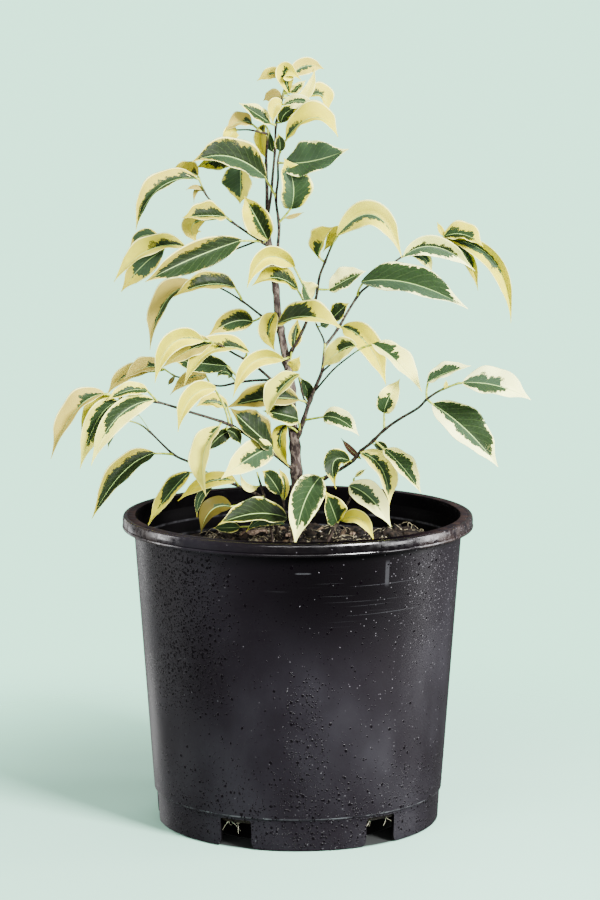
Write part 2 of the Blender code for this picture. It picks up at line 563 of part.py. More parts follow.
def notch_cutter(angle):
    """The space of one drain notch: open at the ground, with its lower corners flared."""
    half = NOTCH_WIDTH / 2
    outline = [(-half - NOTCH_FLARE, -NOTCH_BELOW), (half + NOTCH_FLARE, -NOTCH_BELOW), (half + NOTCH_FLARE, 0.0),
               (half + NOTCH_FLARE * 0.3, NOTCH_FLARE * 0.7), (half, NOTCH_FLARE * 2),
               (half, NOTCH_HEIGHT), (-half, NOTCH_HEIGHT), (-half, NOTCH_FLARE * 2),
               (-half - NOTCH_FLARE * 0.3, NOTCH_FLARE * 0.7), (-half - NOTCH_FLARE, 0.0)]
    out = Vector((cos(angle), sin(angle), 0.0))
    aside = Vector((-sin(angle), cos(angle), 0.0))
    bm = bmesh.new()
    ends = []
    for radius in (FOOT_RADIUS - NOTCH_REACH, RIM_RADIUS):
        ends.append([bm.verts.new(out * radius + aside * x + Vector((0.0, 0.0, z))) for x, z in outline])
    bridge(bm, ends)
    bm.faces.new(ends[0])
    bm.faces.new(ends[1])
    bmesh.ops.triangulate(bm, faces=[face for face in bm.faces if len(face.verts) > 4])
    return new_object("notch", bm)


def mix_height(x, y):
    """The top of the mix: a low mound with lumps."""
    out = (x * x + y * y) ** 0.5 / WALL_TOP_RADIUS
    lumps = sin(170 * x + 1.3) * cos(150 * y) + 0.6 * sin(310 * x - 240 * y + 0.5) + 0.4 * cos(420 * y + 260 * x)
    return MIX_EDGE + MIX_MOUND * (1 - out ** 2) + MIX_LUMP * lumps * (1 - out ** 4)


def make_mix(feet):
    """The potting mix: it fills the pot, and its top has a plain hole for each stem that stands in it."""
    share = (MIX_EDGE - SEAM_HEIGHT) / (POT_HEIGHT - RIM_DEPTH - SEAM_HEIGHT)
    wall_low = SEAM_RADIUS - WALL - GAP
    wall_high = SEAM_RADIUS + (WALL_TOP_RADIUS - SEAM_RADIUS) * share - WALL - 2 * GAP
    profile = [
        (0.0, FLOOR + GAP),
        (DISH_RADIUS - GAP, FLOOR + GAP),
        (DISH_RADIUS + DISH_SLOPE - GAP, SHELF + GAP),
        (SKIRT_TOP_RADIUS - WALL - 2 * GAP, SHELF + GAP),
        (wall_low, SEAM_HEIGHT),
        (wall_high, MIX_EDGE)]
    for ring in range(1, MIX_RINGS):
        profile.append((wall_high * (1 - ring / MIX_RINGS), MIX_EDGE))
    profile.append((0.0, MIX_EDGE))
    mix = turned("potting_mix", profile, POT_SIDES)
    for vert in mix.data.vertices:
        out = (vert.co.x ** 2 + vert.co.y ** 2) ** 0.5
        if vert.co.z > MIX_EDGE - GAP and out < wall_high - GAP:
            vert.co.z = mix_height(vert.co.x, vert.co.y)
    holes = []
    for stem, sides in feet:
        route = stem_route(stem)[:HOLE_POINTS]
        deep = route[0] + (route[0] - route[1]).normalized() * 2 * GAP
        radius = stem.foot * MM + HOLE_ROOM
        holes.append(tube("hole", [deep] + route[1:], radius, radius, sides))
    combine(mix, holes, 'DIFFERENCE')
    return mix


def make_trunk():
    return tube("trunk", stem_route(TRUNK), TRUNK.foot * MM, TRUNK.tip * MM, TRUNK_SIDES)


def trunk_room():
    """The trunk with the gap that every stem keeps to it."""
    route = stem_route(TRUNK)
    route[-1] = route[-1] + (route[-1] - route[-2]).normalized() * GAP
    clear = TRUNK_GAP
    return tube("room", route, TRUNK.foot * MM + clear, TRUNK.tip * MM + clear, TRUNK_SIDES)


def shade(thing):
    thing.data.shade_smooth()
    thing.data.set_sharp_from_angle(angle=SHARP_ANGLE)


def main():
    for thing in list(bpy.data.objects):
        bpy.data.objects.remove(thing, do_unlink=True)
    pot = make_pot()
    plain_material(pot, (0.022, 0.020, 0.023), 0.42)
    rooted = [LEAFY_STEMS[name][0][0] for name in ("low_left_stem", "left_foot_shoot", "right_foot_shoot")]
    mix = make_mix([(TRUNK, TRUNK_SIDES)] + [(stem, STEM_SIDES) for stem in rooted])
    plain_material(mix, (0.035, 0.026, 0.020), 0.95)
    trunk = make_trunk()
    plain_material(trunk, (0.16, 0.12, 0.10), 0.80)
    things = [pot, mix, trunk]
    for name, (stems, leaves) in LEAFY_STEMS.items():
        leafy = make_leafy_stem(name, stems, leaves, trunk_room)
        plain_material(leafy, (0.42, 0.44, 0.20), 0.45)
        things.append(leafy)
    for thing in things:
        shade(thing)


main()
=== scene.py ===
# %% [markdown]
# # A potted weeping fig, from its solids to its looks
#
# A young weeping fig with cream-edged leaves stands in a round black nursery pot. The solid parts come in
# already packed: the pot, the potting mix, the trunk and each leafy stem. This lesson puts a finished
# surface in the place of each, in the same frame, and then lights and shows the plant as its photo does.
#
# The real thing is grown and moulded, so most of it follows rules. Leaves follow their midribs, twigs follow
# their routes, the pot is a turned profile, and crumbs lie on the mix. Geometry Nodes state those rules.

from collections import namedtuple
from math import cos, pi, radians, sin
from random import Random

import bpy
import numpy as np
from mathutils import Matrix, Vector, noise


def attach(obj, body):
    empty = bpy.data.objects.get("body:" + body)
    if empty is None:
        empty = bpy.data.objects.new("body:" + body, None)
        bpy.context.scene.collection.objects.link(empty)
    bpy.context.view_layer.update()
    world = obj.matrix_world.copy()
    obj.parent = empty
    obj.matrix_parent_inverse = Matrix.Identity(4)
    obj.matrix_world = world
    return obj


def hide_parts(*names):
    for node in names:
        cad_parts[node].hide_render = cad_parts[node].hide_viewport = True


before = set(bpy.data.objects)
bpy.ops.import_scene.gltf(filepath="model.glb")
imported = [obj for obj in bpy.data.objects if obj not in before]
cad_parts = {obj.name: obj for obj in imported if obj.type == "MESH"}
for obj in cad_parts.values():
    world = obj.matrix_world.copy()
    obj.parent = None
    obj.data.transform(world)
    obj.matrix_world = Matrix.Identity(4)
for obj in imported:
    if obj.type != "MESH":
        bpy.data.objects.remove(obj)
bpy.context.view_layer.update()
print("CAD nodes:", len(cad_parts))

# %% [markdown]
# ## The plant's layout
#
# Every point of a stem or a leaf is written as it shows in the front picture: its pixel, and how many mm it
# lies behind the pot's axis. Radii and widths are in mm. This is the layout that the solids were made from,
# so each finished leaf lies over its solid one. A real fig grows this way too: a leader, and side stems that
# leave it in turn and arch under the weight of their leaves.
#
# Each leaf also says how it looks. Its two halves differ, because the green middle of a cream-edged fig is
# wider on one side than on the other. The six values are the green share of the left and the right half, how
# far along the leaf the green reaches, the margin's colour from white-cream (0) through yellow (0.5) and
# ochre (1) and a painted shade of olive (1.5), for leaves in the shadow of others, to withered brown (2), and
# how dark each half is on the left and on the right. That darkness is the green's own tone together with
# painted shade, and from 0.55 up it also paints that half's margin darker, as painted shade.

# %% The view that the layout is written in
MM = 0.001
EYE = Vector((0.0013, -1.882, 0.511))
LOOK_DOWN = radians(8.7)
FOCAL_PIXELS = 3190.0
PHOTO_WIDTH = 600
PHOTO_HEIGHT = 900
SENSOR = 36.0

Stem = namedtuple("Stem", "foot tip route")
Leaf = namedtuple("Leaf", "base middle tip width turn fold look joint", defaults=(None,))


def seen(x, y, back):
    """The point that shows at pixel (x, y) and lies this many mm behind the pot's axis."""
    ahead = Vector((0.0, cos(LOOK_DOWN), -sin(LOOK_DOWN)))
    overhead = Vector((0.0, sin(LOOK_DOWN), cos(LOOK_DOWN)))
    across = (x - PHOTO_WIDTH / 2) / FOCAL_PIXELS
    above = (PHOTO_HEIGHT / 2 - y) / FOCAL_PIXELS
    ray = Vector((1.0, 0.0, 0.0)) * across + overhead * above + ahead
    return EYE + ray * ((back * MM - EYE.y) / ray.y)


# %% Trunk and leafy stems
TRUNK = Stem(4.4, 1.7, [
    (296, 560, 0), (296, 545, 0), (297, 515, 0), (297, 488, 1), (295, 447, 1), (292, 420, 0), (291, 400, 0),
    (290, 378, 0), (286, 358, 0), (282, 338, 0), (278, 315, 0), (276, 290, 0), (272, 262, 0), (269, 245, 0),
    (268, 216, 0)])

LEAFY_STEMS = {
    "leading_shoots": (
        [Stem(1.7, 0.9, [(268, 220, 0), (267, 205, 1), (267, 190, 3), (266, 165, 4), (267, 145, 2),
              (268, 130, 0)]),
         Stem(1.2, 0.8, [(268, 214, 0), (271, 195, -2), (273, 172, -3), (275, 150, -3),
              (276, 125, -3), (280, 108, -3), (283, 95, -3), (286, 84, -3)]),
         Stem(0.9, 0.6, [(268, 134, 0), (250, 130, -2), (236, 130, -3)])],
        [Leaf((289, 78, -3), (305, 66, 2), (324, 69, 8), 12, 0, 30, (0.1, 0.3, 0.8, 0.8, 0.3, 0.3)),
         Leaf((290, 94, -4), (286, 71, -6), (301, 80, -12), 14, 0, 35, (0.3, 0.3, 0.7, 0.5, 0.5, 0.5)),
         Leaf((291, 93, -5), (298, 87, -8), (306, 80, -10), 6, 0, 20, (0.4, 0.4, 0.8, 0.3, 0.6, 0.6)),
         Leaf((295, 97, -2), (308, 91, 0), (315, 67, 2), 7, 0, 25, (0, 0, 0, 0.35, 0.5, 0.5)),
         Leaf((281, 76, -3), (271, 74, -2), (257, 81, 0), 9, 20, 30, (0.1, 0.1, 0.7, 0.75, 0.5, 0.5)),
         Leaf((281, 99, 0), (273, 96, 6), (263, 101, 10), 9, 20, 30, (0, 0, 0, 1, 0.5, 0.5)),
         Leaf((309, 97, 2), (322, 96, 6), (328, 112, 8), 16, -40, 30, (0.3, 0.25, 0.6, 0.6, 0.5, 0.5), (284, 98)),
         Leaf((284, 105, -6), (299, 101, -11), (316, 106, -13), 10, 0, 30, (0.3, 0.3, 0.8, 0.2, 0.2, 0.2)),
         Leaf((281, 123, -5), (287, 112, -8), (301, 107, -9), 10, 0, 30, (0.8, 0.8, 0.9, 0.4, 0.9, 0.9)),
         Leaf((271, 124, -5), (256, 114, -9), (239, 103, -12), 12, 40, 25, (0.6, 0.6, 1, 0.3, 0.6, 0.6)),
         Leaf((282, 105, -5), (275, 107, -8), (273, 124, -8), 10, 10, 30, (0, 0, 0, 0.55, 0.5, 0.5)),
         Leaf((252, 124, -2), (240, 122, -6), (226, 131, -8), 14, 45, 25, (0.4, 0.3, 0.4, 0.9, 0.3, 0.3), (262, 131)),
         Leaf((236, 131, -3), (231, 134, -6), (223, 145, -6), 11, 10, 30, (0, 0, 0, 0.6, 0.5, 0.5)),
         Leaf((265, 124, 3), (262, 140, 7), (267, 160, 10), 10, 25, 30, (0.5, 0.5, 0.3, 0.6, 0.8, 0.8)),
         Leaf((273, 152, 1), (270, 143, 6), (270, 130, 9), 6, 0, 30, (0.9, 0.9, 1, 0.6, 0.4, 0.4)),
         Leaf((238, 160, -5), (216, 160, -6), (196, 168, -8), 13, -20, 35, (0.7, 0.2, 0.8, 0.4, 0.9, 0.9), (266, 165)),
         Leaf((240, 162, -3), (241, 182, -1), (240, 204, 3), 23, 30, 30, (0.15, 0.9, 0.9, 0.4, 0.1, 0.1), (266, 168))]),
    "upper_front_shoot": (
        [Stem(1.5, 0.8, [(275, 288, 0), (277, 262, -6), (278, 245, -8), (279, 225, -9),
              (276, 200, -10), (278, 180, -10), (278, 162, -10), (280, 152, -10),
              (285, 141, -10)])],
        [Leaf((266, 178, -14), (230, 157, -30), (192, 162, -42), 25, 32, 32, (0.95, 0.8, 0.97, 0.8, 0.25, 0.95), (276, 198)),
         Leaf((291, 209, -13), (293, 184, -24), (284, 158, -18), 23, 25, 27, (0.8, 0.88, 0.9, 0.55, 0.2, 0.4), (279, 223)),
         Leaf((284, 163, -12), (314, 161, -28), (349, 149, -40), 26, -29, 29, (0.99, 0.99, 0.98, 0.2, 0.2, 0.25)),
         Leaf((286, 140, -11), (314, 118, -24), (338, 137, -28), 22, -50, 30, (0.45, 0.3, 0.28, 0.5, 0.4, 0.4)),
         Leaf((280, 151, -12), (280, 143, -14), (278, 133, -14), 7, 0, 20, (0.85, 0.85, 0.9, 0.4, 0.9, 0.9)),
         Leaf((285, 218, -10), (294, 216, -11), (304, 212, -12), 3, 0, 20, (0, 0, 0, 1.2, 0.5, 0.5), (279, 223))]),
    "upper_left_stem": (
        [Stem(1.2, 0.7, [(269, 247, 0), (259, 240, -6), (248, 233, -10), (227, 218, -17),
              (210, 200, -23), (204, 191, -26), (199, 179, -29)]),
         Stem(0.9, 0.6, [(259, 240, -6), (244, 246, 2), (228, 250, 8), (192, 247, 13), (165, 243, 15)])],
        [Leaf((197, 178, -30), (158, 190, -42), (136, 230, -50), 19, 43, 43, (0.9, 0.4, 0.95, 0.75, 0.2, 0.7)),
         Leaf((198, 176, -27), (186, 172, -26), (168, 173, -24), 15, 45, 30, (0.12, 0.25, 0.35, 0.75, 0.8, 0.9)),
         Leaf((204, 190, -26), (195, 187, -27), (186, 190, -28), 3, 0, 20, (0, 0, 0, 1.2, 0.5, 0.5)),
         Leaf((203, 191, -25), (196, 191, -23), (194, 203, -22), 3, 0, 20, (0, 0, 0, 1.2, 0.5, 0.5)),
         Leaf((226, 217, -20), (205, 216, -28), (182, 218, -34), 19, 44, 34, (0.3, 0.62, 0.85, 0.7, 0.6, 0.95), (232, 221)),
         Leaf((206, 220, -16), (192, 226, -12), (197, 243, -10), 14, 0, 25, (0.1, 0.1, 0.4, 0.75, 0.5, 0.5), (226, 217)),
         Leaf((268, 240, -6), (256, 217, -15), (244, 196, -14), 18, -8, 25, (0.3, 0.75, 0.85, 0.6, 0.5, 0.95)),
         Leaf((242, 240, -15), (191, 259, -36), (145, 282, -48), 20, 2, 28, (0.97, 0.6, 0.98, 0.9, 0.75, 1), (262, 242)),
         Leaf((186, 247, 10), (148, 251, 2), (114, 282, -4), 19, 45, 33, (0.05, 0.45, 0.5, 0.4, 0.2, 0.85)),
         Leaf((160, 239, 18), (143, 236, 22), (129, 250, 24), 9, 15, 25, (0.85, 0.85, 0.9, 0.8, 0.25, 0.25)),
         Leaf((164, 250, 14), (142, 266, 14), (121, 292, 12), 16, 0, 25, (0.8, 0.75, 0.75, 0.7, 0.1, 0.15))]),
    "second_left_stem": (
        [Stem(1.1, 0.7, [(279, 329, 0), (263, 317, 8), (242, 301, 22), (220, 288, 36), (205, 286, 44)])],
        [Leaf((198, 287, 44), (167, 300, 34), (150, 350, 26), 20, 43, 35, (0.95, 0.14, 0.9, 1, 0.5, 0.7)),
         Leaf((236, 288, 24), (206, 285, 16), (174, 297, 8), 18, 42, 34, (0.4, 0.6, 0.8, 0.75, 0.7, 0.97), (242, 301)),
         Leaf((253, 322, 6), (232, 322, 0), (208, 336, -4), 16, 8, 30, (0.55, 0.6, 0.8, 0.75, 0.6, 0.97)),
         Leaf((278, 324, -7), (309, 317, -46), (342, 329, -50), 22, -45, 33, (0.7, 0.6, 0.6, 0.45, 0.85, 0.5), (271, 323)),
         Leaf((276, 313, -2), (269, 330, -8), (275, 351, -9), 15, 15, 38, (0.15, 0.15, 0.8, 0.6, 0.7, 0.7), (269, 321))]),
    "middle_left_front_stem": (
        [Stem(1.3, 0.7, [(290, 392, 0), (281, 386, 0), (272, 380, -3), (258, 368, -14),
              (246, 360, -26), (233, 353, -38), (220, 345, -50), (208, 341, -60)])],
        [Leaf((204, 341, -62), (172, 344, -76), (155, 383, -86), 16, 8, 42, (0.05, 0.05, 0.4, 0.5, 0.2, 0.95)),
         Leaf((212, 344, -56), (190, 350, -56), (162, 368, -58), 17, 30, 30, (0.1, 0.4, 0.5, 0.85, 0.7, 0.9)),
         Leaf((249, 352, -28), (212, 351, -52), (184, 385, -66), 19, 40, 36, (0.12, 0.35, 0.45, 0.45, 0.3, 0.85))]),
    "middle_left_back_stem": (
        [Stem(1.2, 0.7, [(289, 386, 0), (277, 382, 8), (264, 380, 15), (240, 382, 28), (220, 386, 40),
              (202, 382, 48), (184, 378, 56), (175, 376, 60), (164, 369, 66)])],
        [Leaf((228, 366, 24), (200, 363, 22), (170, 359, 24), 15, 0, 38, (0.97, 0.97, 0.97, 0.5, 0.6, 0.9), (240, 382)),
         Leaf((207, 377, 42), (190, 378, 38), (170, 395, 34), 11, 10, 38, (0.1, 0.1, 0.6, 0.9, 0.7, 0.7)),
         Leaf((232, 377, 28), (225, 372, 24), (217, 377, 20), 9, 30, 20, (0.9, 0.9, 1, 0.5, 0.5, 0.5)),
         Leaf((161, 368, 66), (144, 368, 60), (124, 379, 54), 15, 38, 33, (0.3, 0.3, 0.5, 1, 0.5, 0.6)),
         Leaf((150, 372, 70), (127, 375, 68), (107, 395, 66), 14, 20, 42, (0.08, 0.08, 0.8, 0.9, 0.4, 0.6), (164, 369)),
         Leaf((175, 376, 62), (171, 381, 62), (168, 385, 62), 3, 0, 20, (0, 0, 0, 1.7, 0.5, 0.5))]),
    "long_left_stem": (
        [Stem(1.5, 0.8, [(295, 471, 1), (286, 464, -7), (275, 455, -12), (262, 445, -18),
              (250, 437, -24), (230, 425, -36), (210, 418, -46), (190, 412, -55),
              (178, 408, -60), (157, 402, -68), (140, 400, -74), (122, 398, -80),
              (107, 394, -86)])],
        [Leaf((105, 394, -87), (76, 411, -94), (51, 459, -98), 19, 42, 40, (0.05, 0.25, 0.45, 0.95, 0.3, 0.7)),
         Leaf((148, 391, -74), (128, 391, -82), (106, 401, -86), 11, 30, 33, (0.6, 0.4, 0.9, 0.4, 0.6, 0.6), (157, 401)),
         Leaf((154, 400, -71), (117, 418, -86), (91, 466, -92), 17, 5, 38, (0.15, 0.75, 0.75, 0.3, 0.3, 0.8)),
         Leaf((118, 402, -80), (97, 421, -84), (80, 469, -84), 17, 0, 35, (0.55, 0.5, 0.8, 0.35, 0.6, 0.7)),
         Leaf((109, 397, -84), (92, 407, -80), (81, 440, -76), 9, 20, 35, (0.05, 0.05, 0.3, 0.45, 0.5, 0.5)),
         Leaf((216, 388, -46), (191, 398, -60), (178, 432, -70), 15, 10, 43, (0.05, 0.05, 0.2, 0.45, 0.3, 0.9), (229, 424)),
         Leaf((228, 408, -32), (212, 402, -34), (196, 407, -38), 12, 30, 33, (0.3, 0.3, 0.9, 0.65, 0.3, 0.3), (232, 426)),
         Leaf((220, 426, -42), (204, 455, -54), (206, 496, -56), 19, 40, 36, (0.25, 0.3, 0.38, 0.35, 0.3, 0.75)),
         Leaf((234, 430, -34), (219, 437, -36), (206, 453, -38), 10, -20, 30, (0.9, 0.9, 1, 0.5, 0.95, 0.95)),
         Leaf((226, 430, -38), (235, 434, -36), (241, 445, -34), 8, 0, 30, (0.9, 0.9, 1, 0.5, 0.95, 0.95)),
         Leaf((273, 448, -18), (250, 428, -30), (230, 408, -28), 24, 42, 30, (0.85, 0.85, 0.9, 1.25, 0.97, 0.97), (268, 450)),
         Leaf((272, 446, -22), (248, 459, -42), (221, 479, -58), 20, 5, 30, (0.75, 0.35, 0.7, 0.3, 0.2, 0.7), (268, 450))]),
    "low_left_stem": (
        [Stem(1.6, 0.7, [(280, 546, 12), (277, 530, 13), (270, 508, 16), (260, 496, 20),
              (236, 485, 28), (214, 477, 33), (191, 463, 36), (173, 454, 34),
              (150, 432, 28), (139, 424, 24), (126, 420, 20)])],
        [Leaf((155, 453, 28), (122, 474, 16), (92, 519, 8), 19, 32, 34, (0.95, 0.55, 0.97, 0.8, 0.9, 0.97), (174, 454)),
         Leaf((190, 472, 30), (170, 493, 20), (147, 527, 12), 14, 25, 38, (0.6, 0.6, 0.75, 0.45, 0.3, 0.7), (207, 473)),
         Leaf((236, 481, 22), (208, 482, 14), (178, 501, 8), 14, 10, 46, (0.15, 0.15, 0.7, 0.55, 0.3, 0.3)),
         Leaf((212, 488, 24), (200, 497, 20), (197, 517, 18), 6, 0, 30, (0.9, 0.9, 1, 0.7, 0.4, 0.4), (214, 477)),
         Leaf((120, 424, 20), (112, 433, 18), (108, 449, 17), 5, 0, 30, (1, 1, 1, 0.5, 0.1, 0.1)),
         Leaf((139, 415, 26), (135, 414, 25), (130, 415, 24), 3, 0, 20, (1, 1, 1, 0.5, 0.1, 0.1), (150, 432))]),
    "left_foot_shoot": (
        [Stem(1.2, 0.8, [(274, 548, -10), (271, 530, -10), (268, 510, -10), (264, 495, -11),
              (262, 489, -12), (257, 472, -13)]),
         Stem(0.9, 0.7, [(271, 522, -10), (279, 516, -11), (284, 506, -12), (282, 496, -12)])],
        [Leaf((287, 518, -17), (254, 514, -40), (218, 525, -54), 20, 33, 30, (0.95, 0.92, 0.97, 0.6, 0.95, 1), (279, 516)),
         Leaf((232, 507, -18), (212, 510, -22), (201, 533, -26), 15, 20, 38, (0.15, 0.15, 0.5, 1.62, 0.8, 0.8), (264, 496)),
         Leaf((284, 524, -16), (264, 519, -22), (246, 532, -26), 9, -15, 30, (0.9, 0.9, 1, 0.5, 0.1, 0.1), (272, 520)),
         Leaf((240, 527, -18), (227, 528, -22), (213, 528, -24), 8, 20, 25, (0.9, 0.9, 1, 0.7, 0.4, 0.4), (270, 525)),
         Leaf((281, 495, -14), (271, 479, -18), (262, 471, -20), 12, 10, 25, (0.8, 0.8, 0.9, 0.6, 0.8, 0.8)),
         Leaf((284, 500, -11), (284, 482, -10), (279, 469, -9), 7, 0, 30, (0.3, 0.3, 0.8, 0.65, 0.4, 0.4)),
         Leaf((258, 486, -12), (247, 487, -14), (240, 473, -15), 5, 0, 20, (0, 0, 0, 0.3, 0.5, 0.5))]),
    "upper_right_stem": (
        [Stem(1.5, 0.8, [(287, 362, 0), (292, 350, -5), (297, 342, -8), (306, 323, -13),
              (312, 306, -18), (316, 298, -21), (318, 285, -25), (320, 275, -28),
              (325, 262, -33), (332, 245, -39), (338, 235, -42)])],
        [Leaf((337, 236, -43), (374, 215, -56), (402, 258, -66), 19, -5, 36, (0, 0.42, 0.75, 0.4, 0.4, 0)),
         Leaf((318, 257, -31), (324, 240, -42), (333, 227, -56), 19, -45, 38, (0.6, 0.6, 0.45, 0.65, 0.6, 0.7)),
         Leaf((340, 226, -41), (334, 236, -36), (323, 252, -30), 8, 30, 25, (0, 0, 0, 0.45, 0.5, 0.5)),
         Leaf((329, 290, -24), (347, 280, -30), (366, 271, -34), 17, -35, 30, (0.2, 0.85, 0.95, 0.15, 0.6, 0.3)),
         Leaf((295, 267, -28), (266, 258, -46), (247, 288, -58), 16, 0, 42, (0.03, 0.03, 0.3, 0.5, 0.2, 0.95), (311, 307)),
         Leaf((298, 290, -22), (276, 278, -34), (252, 286, -40), 16, 42, 30, (0.5, 0.55, 0.7, 0.55, 0.85, 0.9), (309, 313)),
         Leaf((311, 300, -20), (306, 291, -30), (302, 280, -40), 15, 35, 25, (0.9, 0.05, 1, 0.3, 0.3, 0.5)),
         Leaf((294, 349, 1), (295, 337, 7), (298, 317, 11), 10, 0, 30, (0.4, 0.4, 0.9, 0.65, 0.8, 0.8)),
         Leaf((284, 360, -12), (252, 363, -30), (233, 398, -38), 15, 0, 48, (0.03, 0.03, 0.3, 0.45, 0.2, 0.85), (289, 357)),
         Leaf((291, 368, -10), (295, 364, -13), (300, 356, -16), 9, 0, 25, (0.03, 0.03, 0.3, 0.45, 0.5, 0.5), (292, 350))]),
    "long_right_stem": (
        [Stem(2.2, 1.2, [(293, 448, 1), (297, 438, 0), (303, 422, -2), (309, 403, 0), (316, 386, 4),
              (322, 371, 8), (324, 355, 12), (325, 344, 15)]),
         Stem(1.2, 0.7, [(325, 346, 15), (337, 330, 22), (350, 308, 30), (360, 293, 36),
              (368, 286, 40), (384, 272, 48), (400, 258, 56), (420, 249, 64),
              (436, 241, 71), (445, 237, 75)]),
         Stem(0.9, 0.6, [(325, 346, 15), (323, 338, 15), (318, 328, 14), (315, 321, 13)]),
         Stem(0.9, 0.6, [(321, 373, 8), (332, 363, 0), (341, 356, -8), (347, 349, -14),
              (351, 340, -18)]),
         Stem(0.9, 0.6, [(315, 391, 3), (333, 370, -10), (350, 356, -22), (360, 349, -28)]),
         Stem(0.9, 0.7, [(308, 406, 0), (303, 396, -6), (299, 378, -12)])],
        [Leaf((299, 374, -14), (279, 392, -30), (267, 416, -36), 19, 40, 38, (0.15, 0.2, 0.6, 0.3, 0.9, 0.9)),
         Leaf((299, 400, -11), (265, 399, -15), (226, 408, -14), 22, 30, 38, (0.3, 0.6, 0.95, 1.15, 0.8, 0.95), (306, 402)),
         Leaf((298, 419, -9), (283, 415, -13), (263, 411, -12), 20, 35, 28, (0.85, 0.85, 0.9, 0.3, 0.8, 0.9), (300, 432)),
         Leaf((287, 425, -9), (280, 442, -13), (289, 467, -10), 12, 20, 30, (0.15, 0.3, 0.7, 0.45, 0.9, 0.9), (299, 434)),
         Leaf((307, 400, 4), (307, 390, 9), (300, 377, 12), 9, 0, 25, (0.9, 0.9, 1, 0.6, 0.45, 0.45)),
         Leaf((323, 417, -12), (341, 420, -24), (359, 436, -30), 14, -15, 30, (0.6, 0.8, 0.85, 0.12, 0.55, 0.5), (304, 420)),
         Leaf((357, 346, -20), (340, 351, -14), (322, 368, -6), 16, 20, 30, (0.2, 0.5, 0.6, 0.3, 0.85, 0.9)),
         Leaf((372, 344, -32), (397, 362, -42), (422, 392, -48), 19, -42, 34, (0.85, 0, 0.5, 0.25, 0.6, 0.5)),
         Leaf((342, 327, 22), (368, 345, 6), (386, 385, -2), 19, -10, 35, (0.45, 0.1, 0.4, 0.5, 0.6, 0.6)),
         Leaf((332, 319, 18), (340, 311, 14), (349, 303, 10), 12, -25, 22, (0.85, 0.85, 0.9, 0.4, 0.85, 0.85)),
         Leaf((361, 282, 32), (412, 284, 16), (468, 309, 6), 25, -32, 30, (0.99, 0.85, 0.97, 0.1, 0.62, 0.05), (358, 297)),
         Leaf((403, 257, 57), (436, 247, 62), (475, 271, 68), 17, -5, 40, (0.25, 0.75, 0.8, 0.1, 0.9, 0.15)),
         Leaf((412, 256, 60), (424, 258, 64), (432, 272, 68), 9, 0, 30, (0.6, 0.6, 0.8, 0.3, 0.1, 0.1)),
         Leaf((443, 237, 74), (464, 235, 68), (483, 247, 64), 18, -40, 33, (0.45, 0.7, 0.8, 0.45, 0.6, 0.85)),
         Leaf((447, 239, 75), (495, 262, 66), (511, 323, 60), 16, 10, 46, (0.35, 0.6, 0.7, 0.5, 0.5, 0.05)),
         Leaf((446, 241, 77), (467, 257, 82), (478, 291, 86), 13, 0, 52, (0.7, 0.7, 0.75, 0.6, 0.3, 0.4)),
         Leaf((444, 236, 75), (441, 230, 76), (437, 222, 78), 4, 0, 20, (0, 0, 0, 0.6, 0.5, 0.5)),
         Leaf((321, 326, 12), (326, 323, 10), (332, 321, 8), 6, 0, 25, (0.9, 0.9, 1, 0.5, 0.2, 0.2))]),
    "low_right_stem": (
        [Stem(1.6, 0.8, [(297, 496, 1), (308, 488, -1), (325, 478, -6), (350, 463, -16),
              (361, 451, -23), (372, 442, -30), (383, 431, -37), (398, 420, -44),
              (418, 408, -54), (427, 399, -60), (441, 390, -66), (459, 383, -73)])],
        [Leaf((427, 383, -61), (447, 373, -66), (471, 366, -72), 14, -42, 36, (0.7, 0.4, 0.85, 0.1, 0.35, 0.4), (427, 399)),
         Leaf((462, 383, -74), (497, 386, -82), (531, 400, -88), 22, -30, 32, (0.5, 0.75, 0.66, 0, 0.05, 0.3)),
         Leaf((432, 404, -60), (467, 431, -72), (498, 467, -78), 25, -27, 27, (0.88, 0.42, 0.85, 0.05, 0.75, 0.15)),
         Leaf((384, 413, -37), (389, 398, -41), (400, 379, -36), 14, -8, 30, (0.85, 0.6, 0.6, 0.3, 0.5, 0.6), (384, 430)),
         Leaf((361, 453, -24), (382, 470, -36), (389, 506, -42), 19, -35, 30, (0.3, 0.55, 0.9, 0.35, 0.4, 0.4)),
         Leaf((384, 449, -33), (403, 468, -46), (421, 493, -52), 17, -35, 32, (0.5, 0.5, 0.95, 0.25, 0.6, 0.5), (374, 440)),
         Leaf((374, 445, -31), (381, 446, -30), (389, 449, -28), 6, 0, 20, (0.9, 0.9, 1, 0.7, 0.85, 0.85)),
         Leaf((320, 477, -9), (304, 504, -36), (295, 545, -52), 23, 0, 34, (0.75, 0.75, 0.88, 0.2, 0.55, 0.6)),
         Leaf((350, 461, -19), (334, 462, -24), (336, 489, -28), 15, 10, 38, (0.8, 0.8, 0.9, 0.5, 0.85, 0.85)),
         Leaf((361, 459, -19), (351, 450, -16), (341, 438, -12), 4, 0, 10, (0, 0, 0, 2, 0.5, 0.5)),
         Leaf((445, 389, -68), (446, 385, -69), (446, 380, -70), 3, 0, 20, (0, 0, 0, 0.4, 0.3, 0.3))]),
    "right_foot_shoot": (
        [Stem(1.2, 0.7, [(322, 556, -14), (326, 545, -14), (336, 526, -12), (345, 508, -10),
              (352, 494, -8), (354, 478, -6)])],
        [Leaf((349, 486, -12), (371, 499, -24), (391, 527, -32), 19, -15, 32, (0.45, 0.45, 0.7, 0.12, 0.15, 0.35)),
         Leaf((337, 522, -14), (332, 508, -26), (325, 491, -38), 17, 20, 30, (0.85, 0.7, 0.9, 0.5, 0.6, 0.6)),
         Leaf((342, 521, -13), (360, 519, -22), (374, 541, -26), 11, -10, 38, (0.03, 0.03, 0.3, 0.5, 0.5, 0.5)),
         Leaf((355, 477, -6), (360, 473, -5), (366, 469, -4), 3, 0, 20, (0.3, 0.3, 1, 0.3, 0, 0))]),
}
leaf_count = sum(len(leaves) for stems, leaves in LEAFY_STEMS.values())
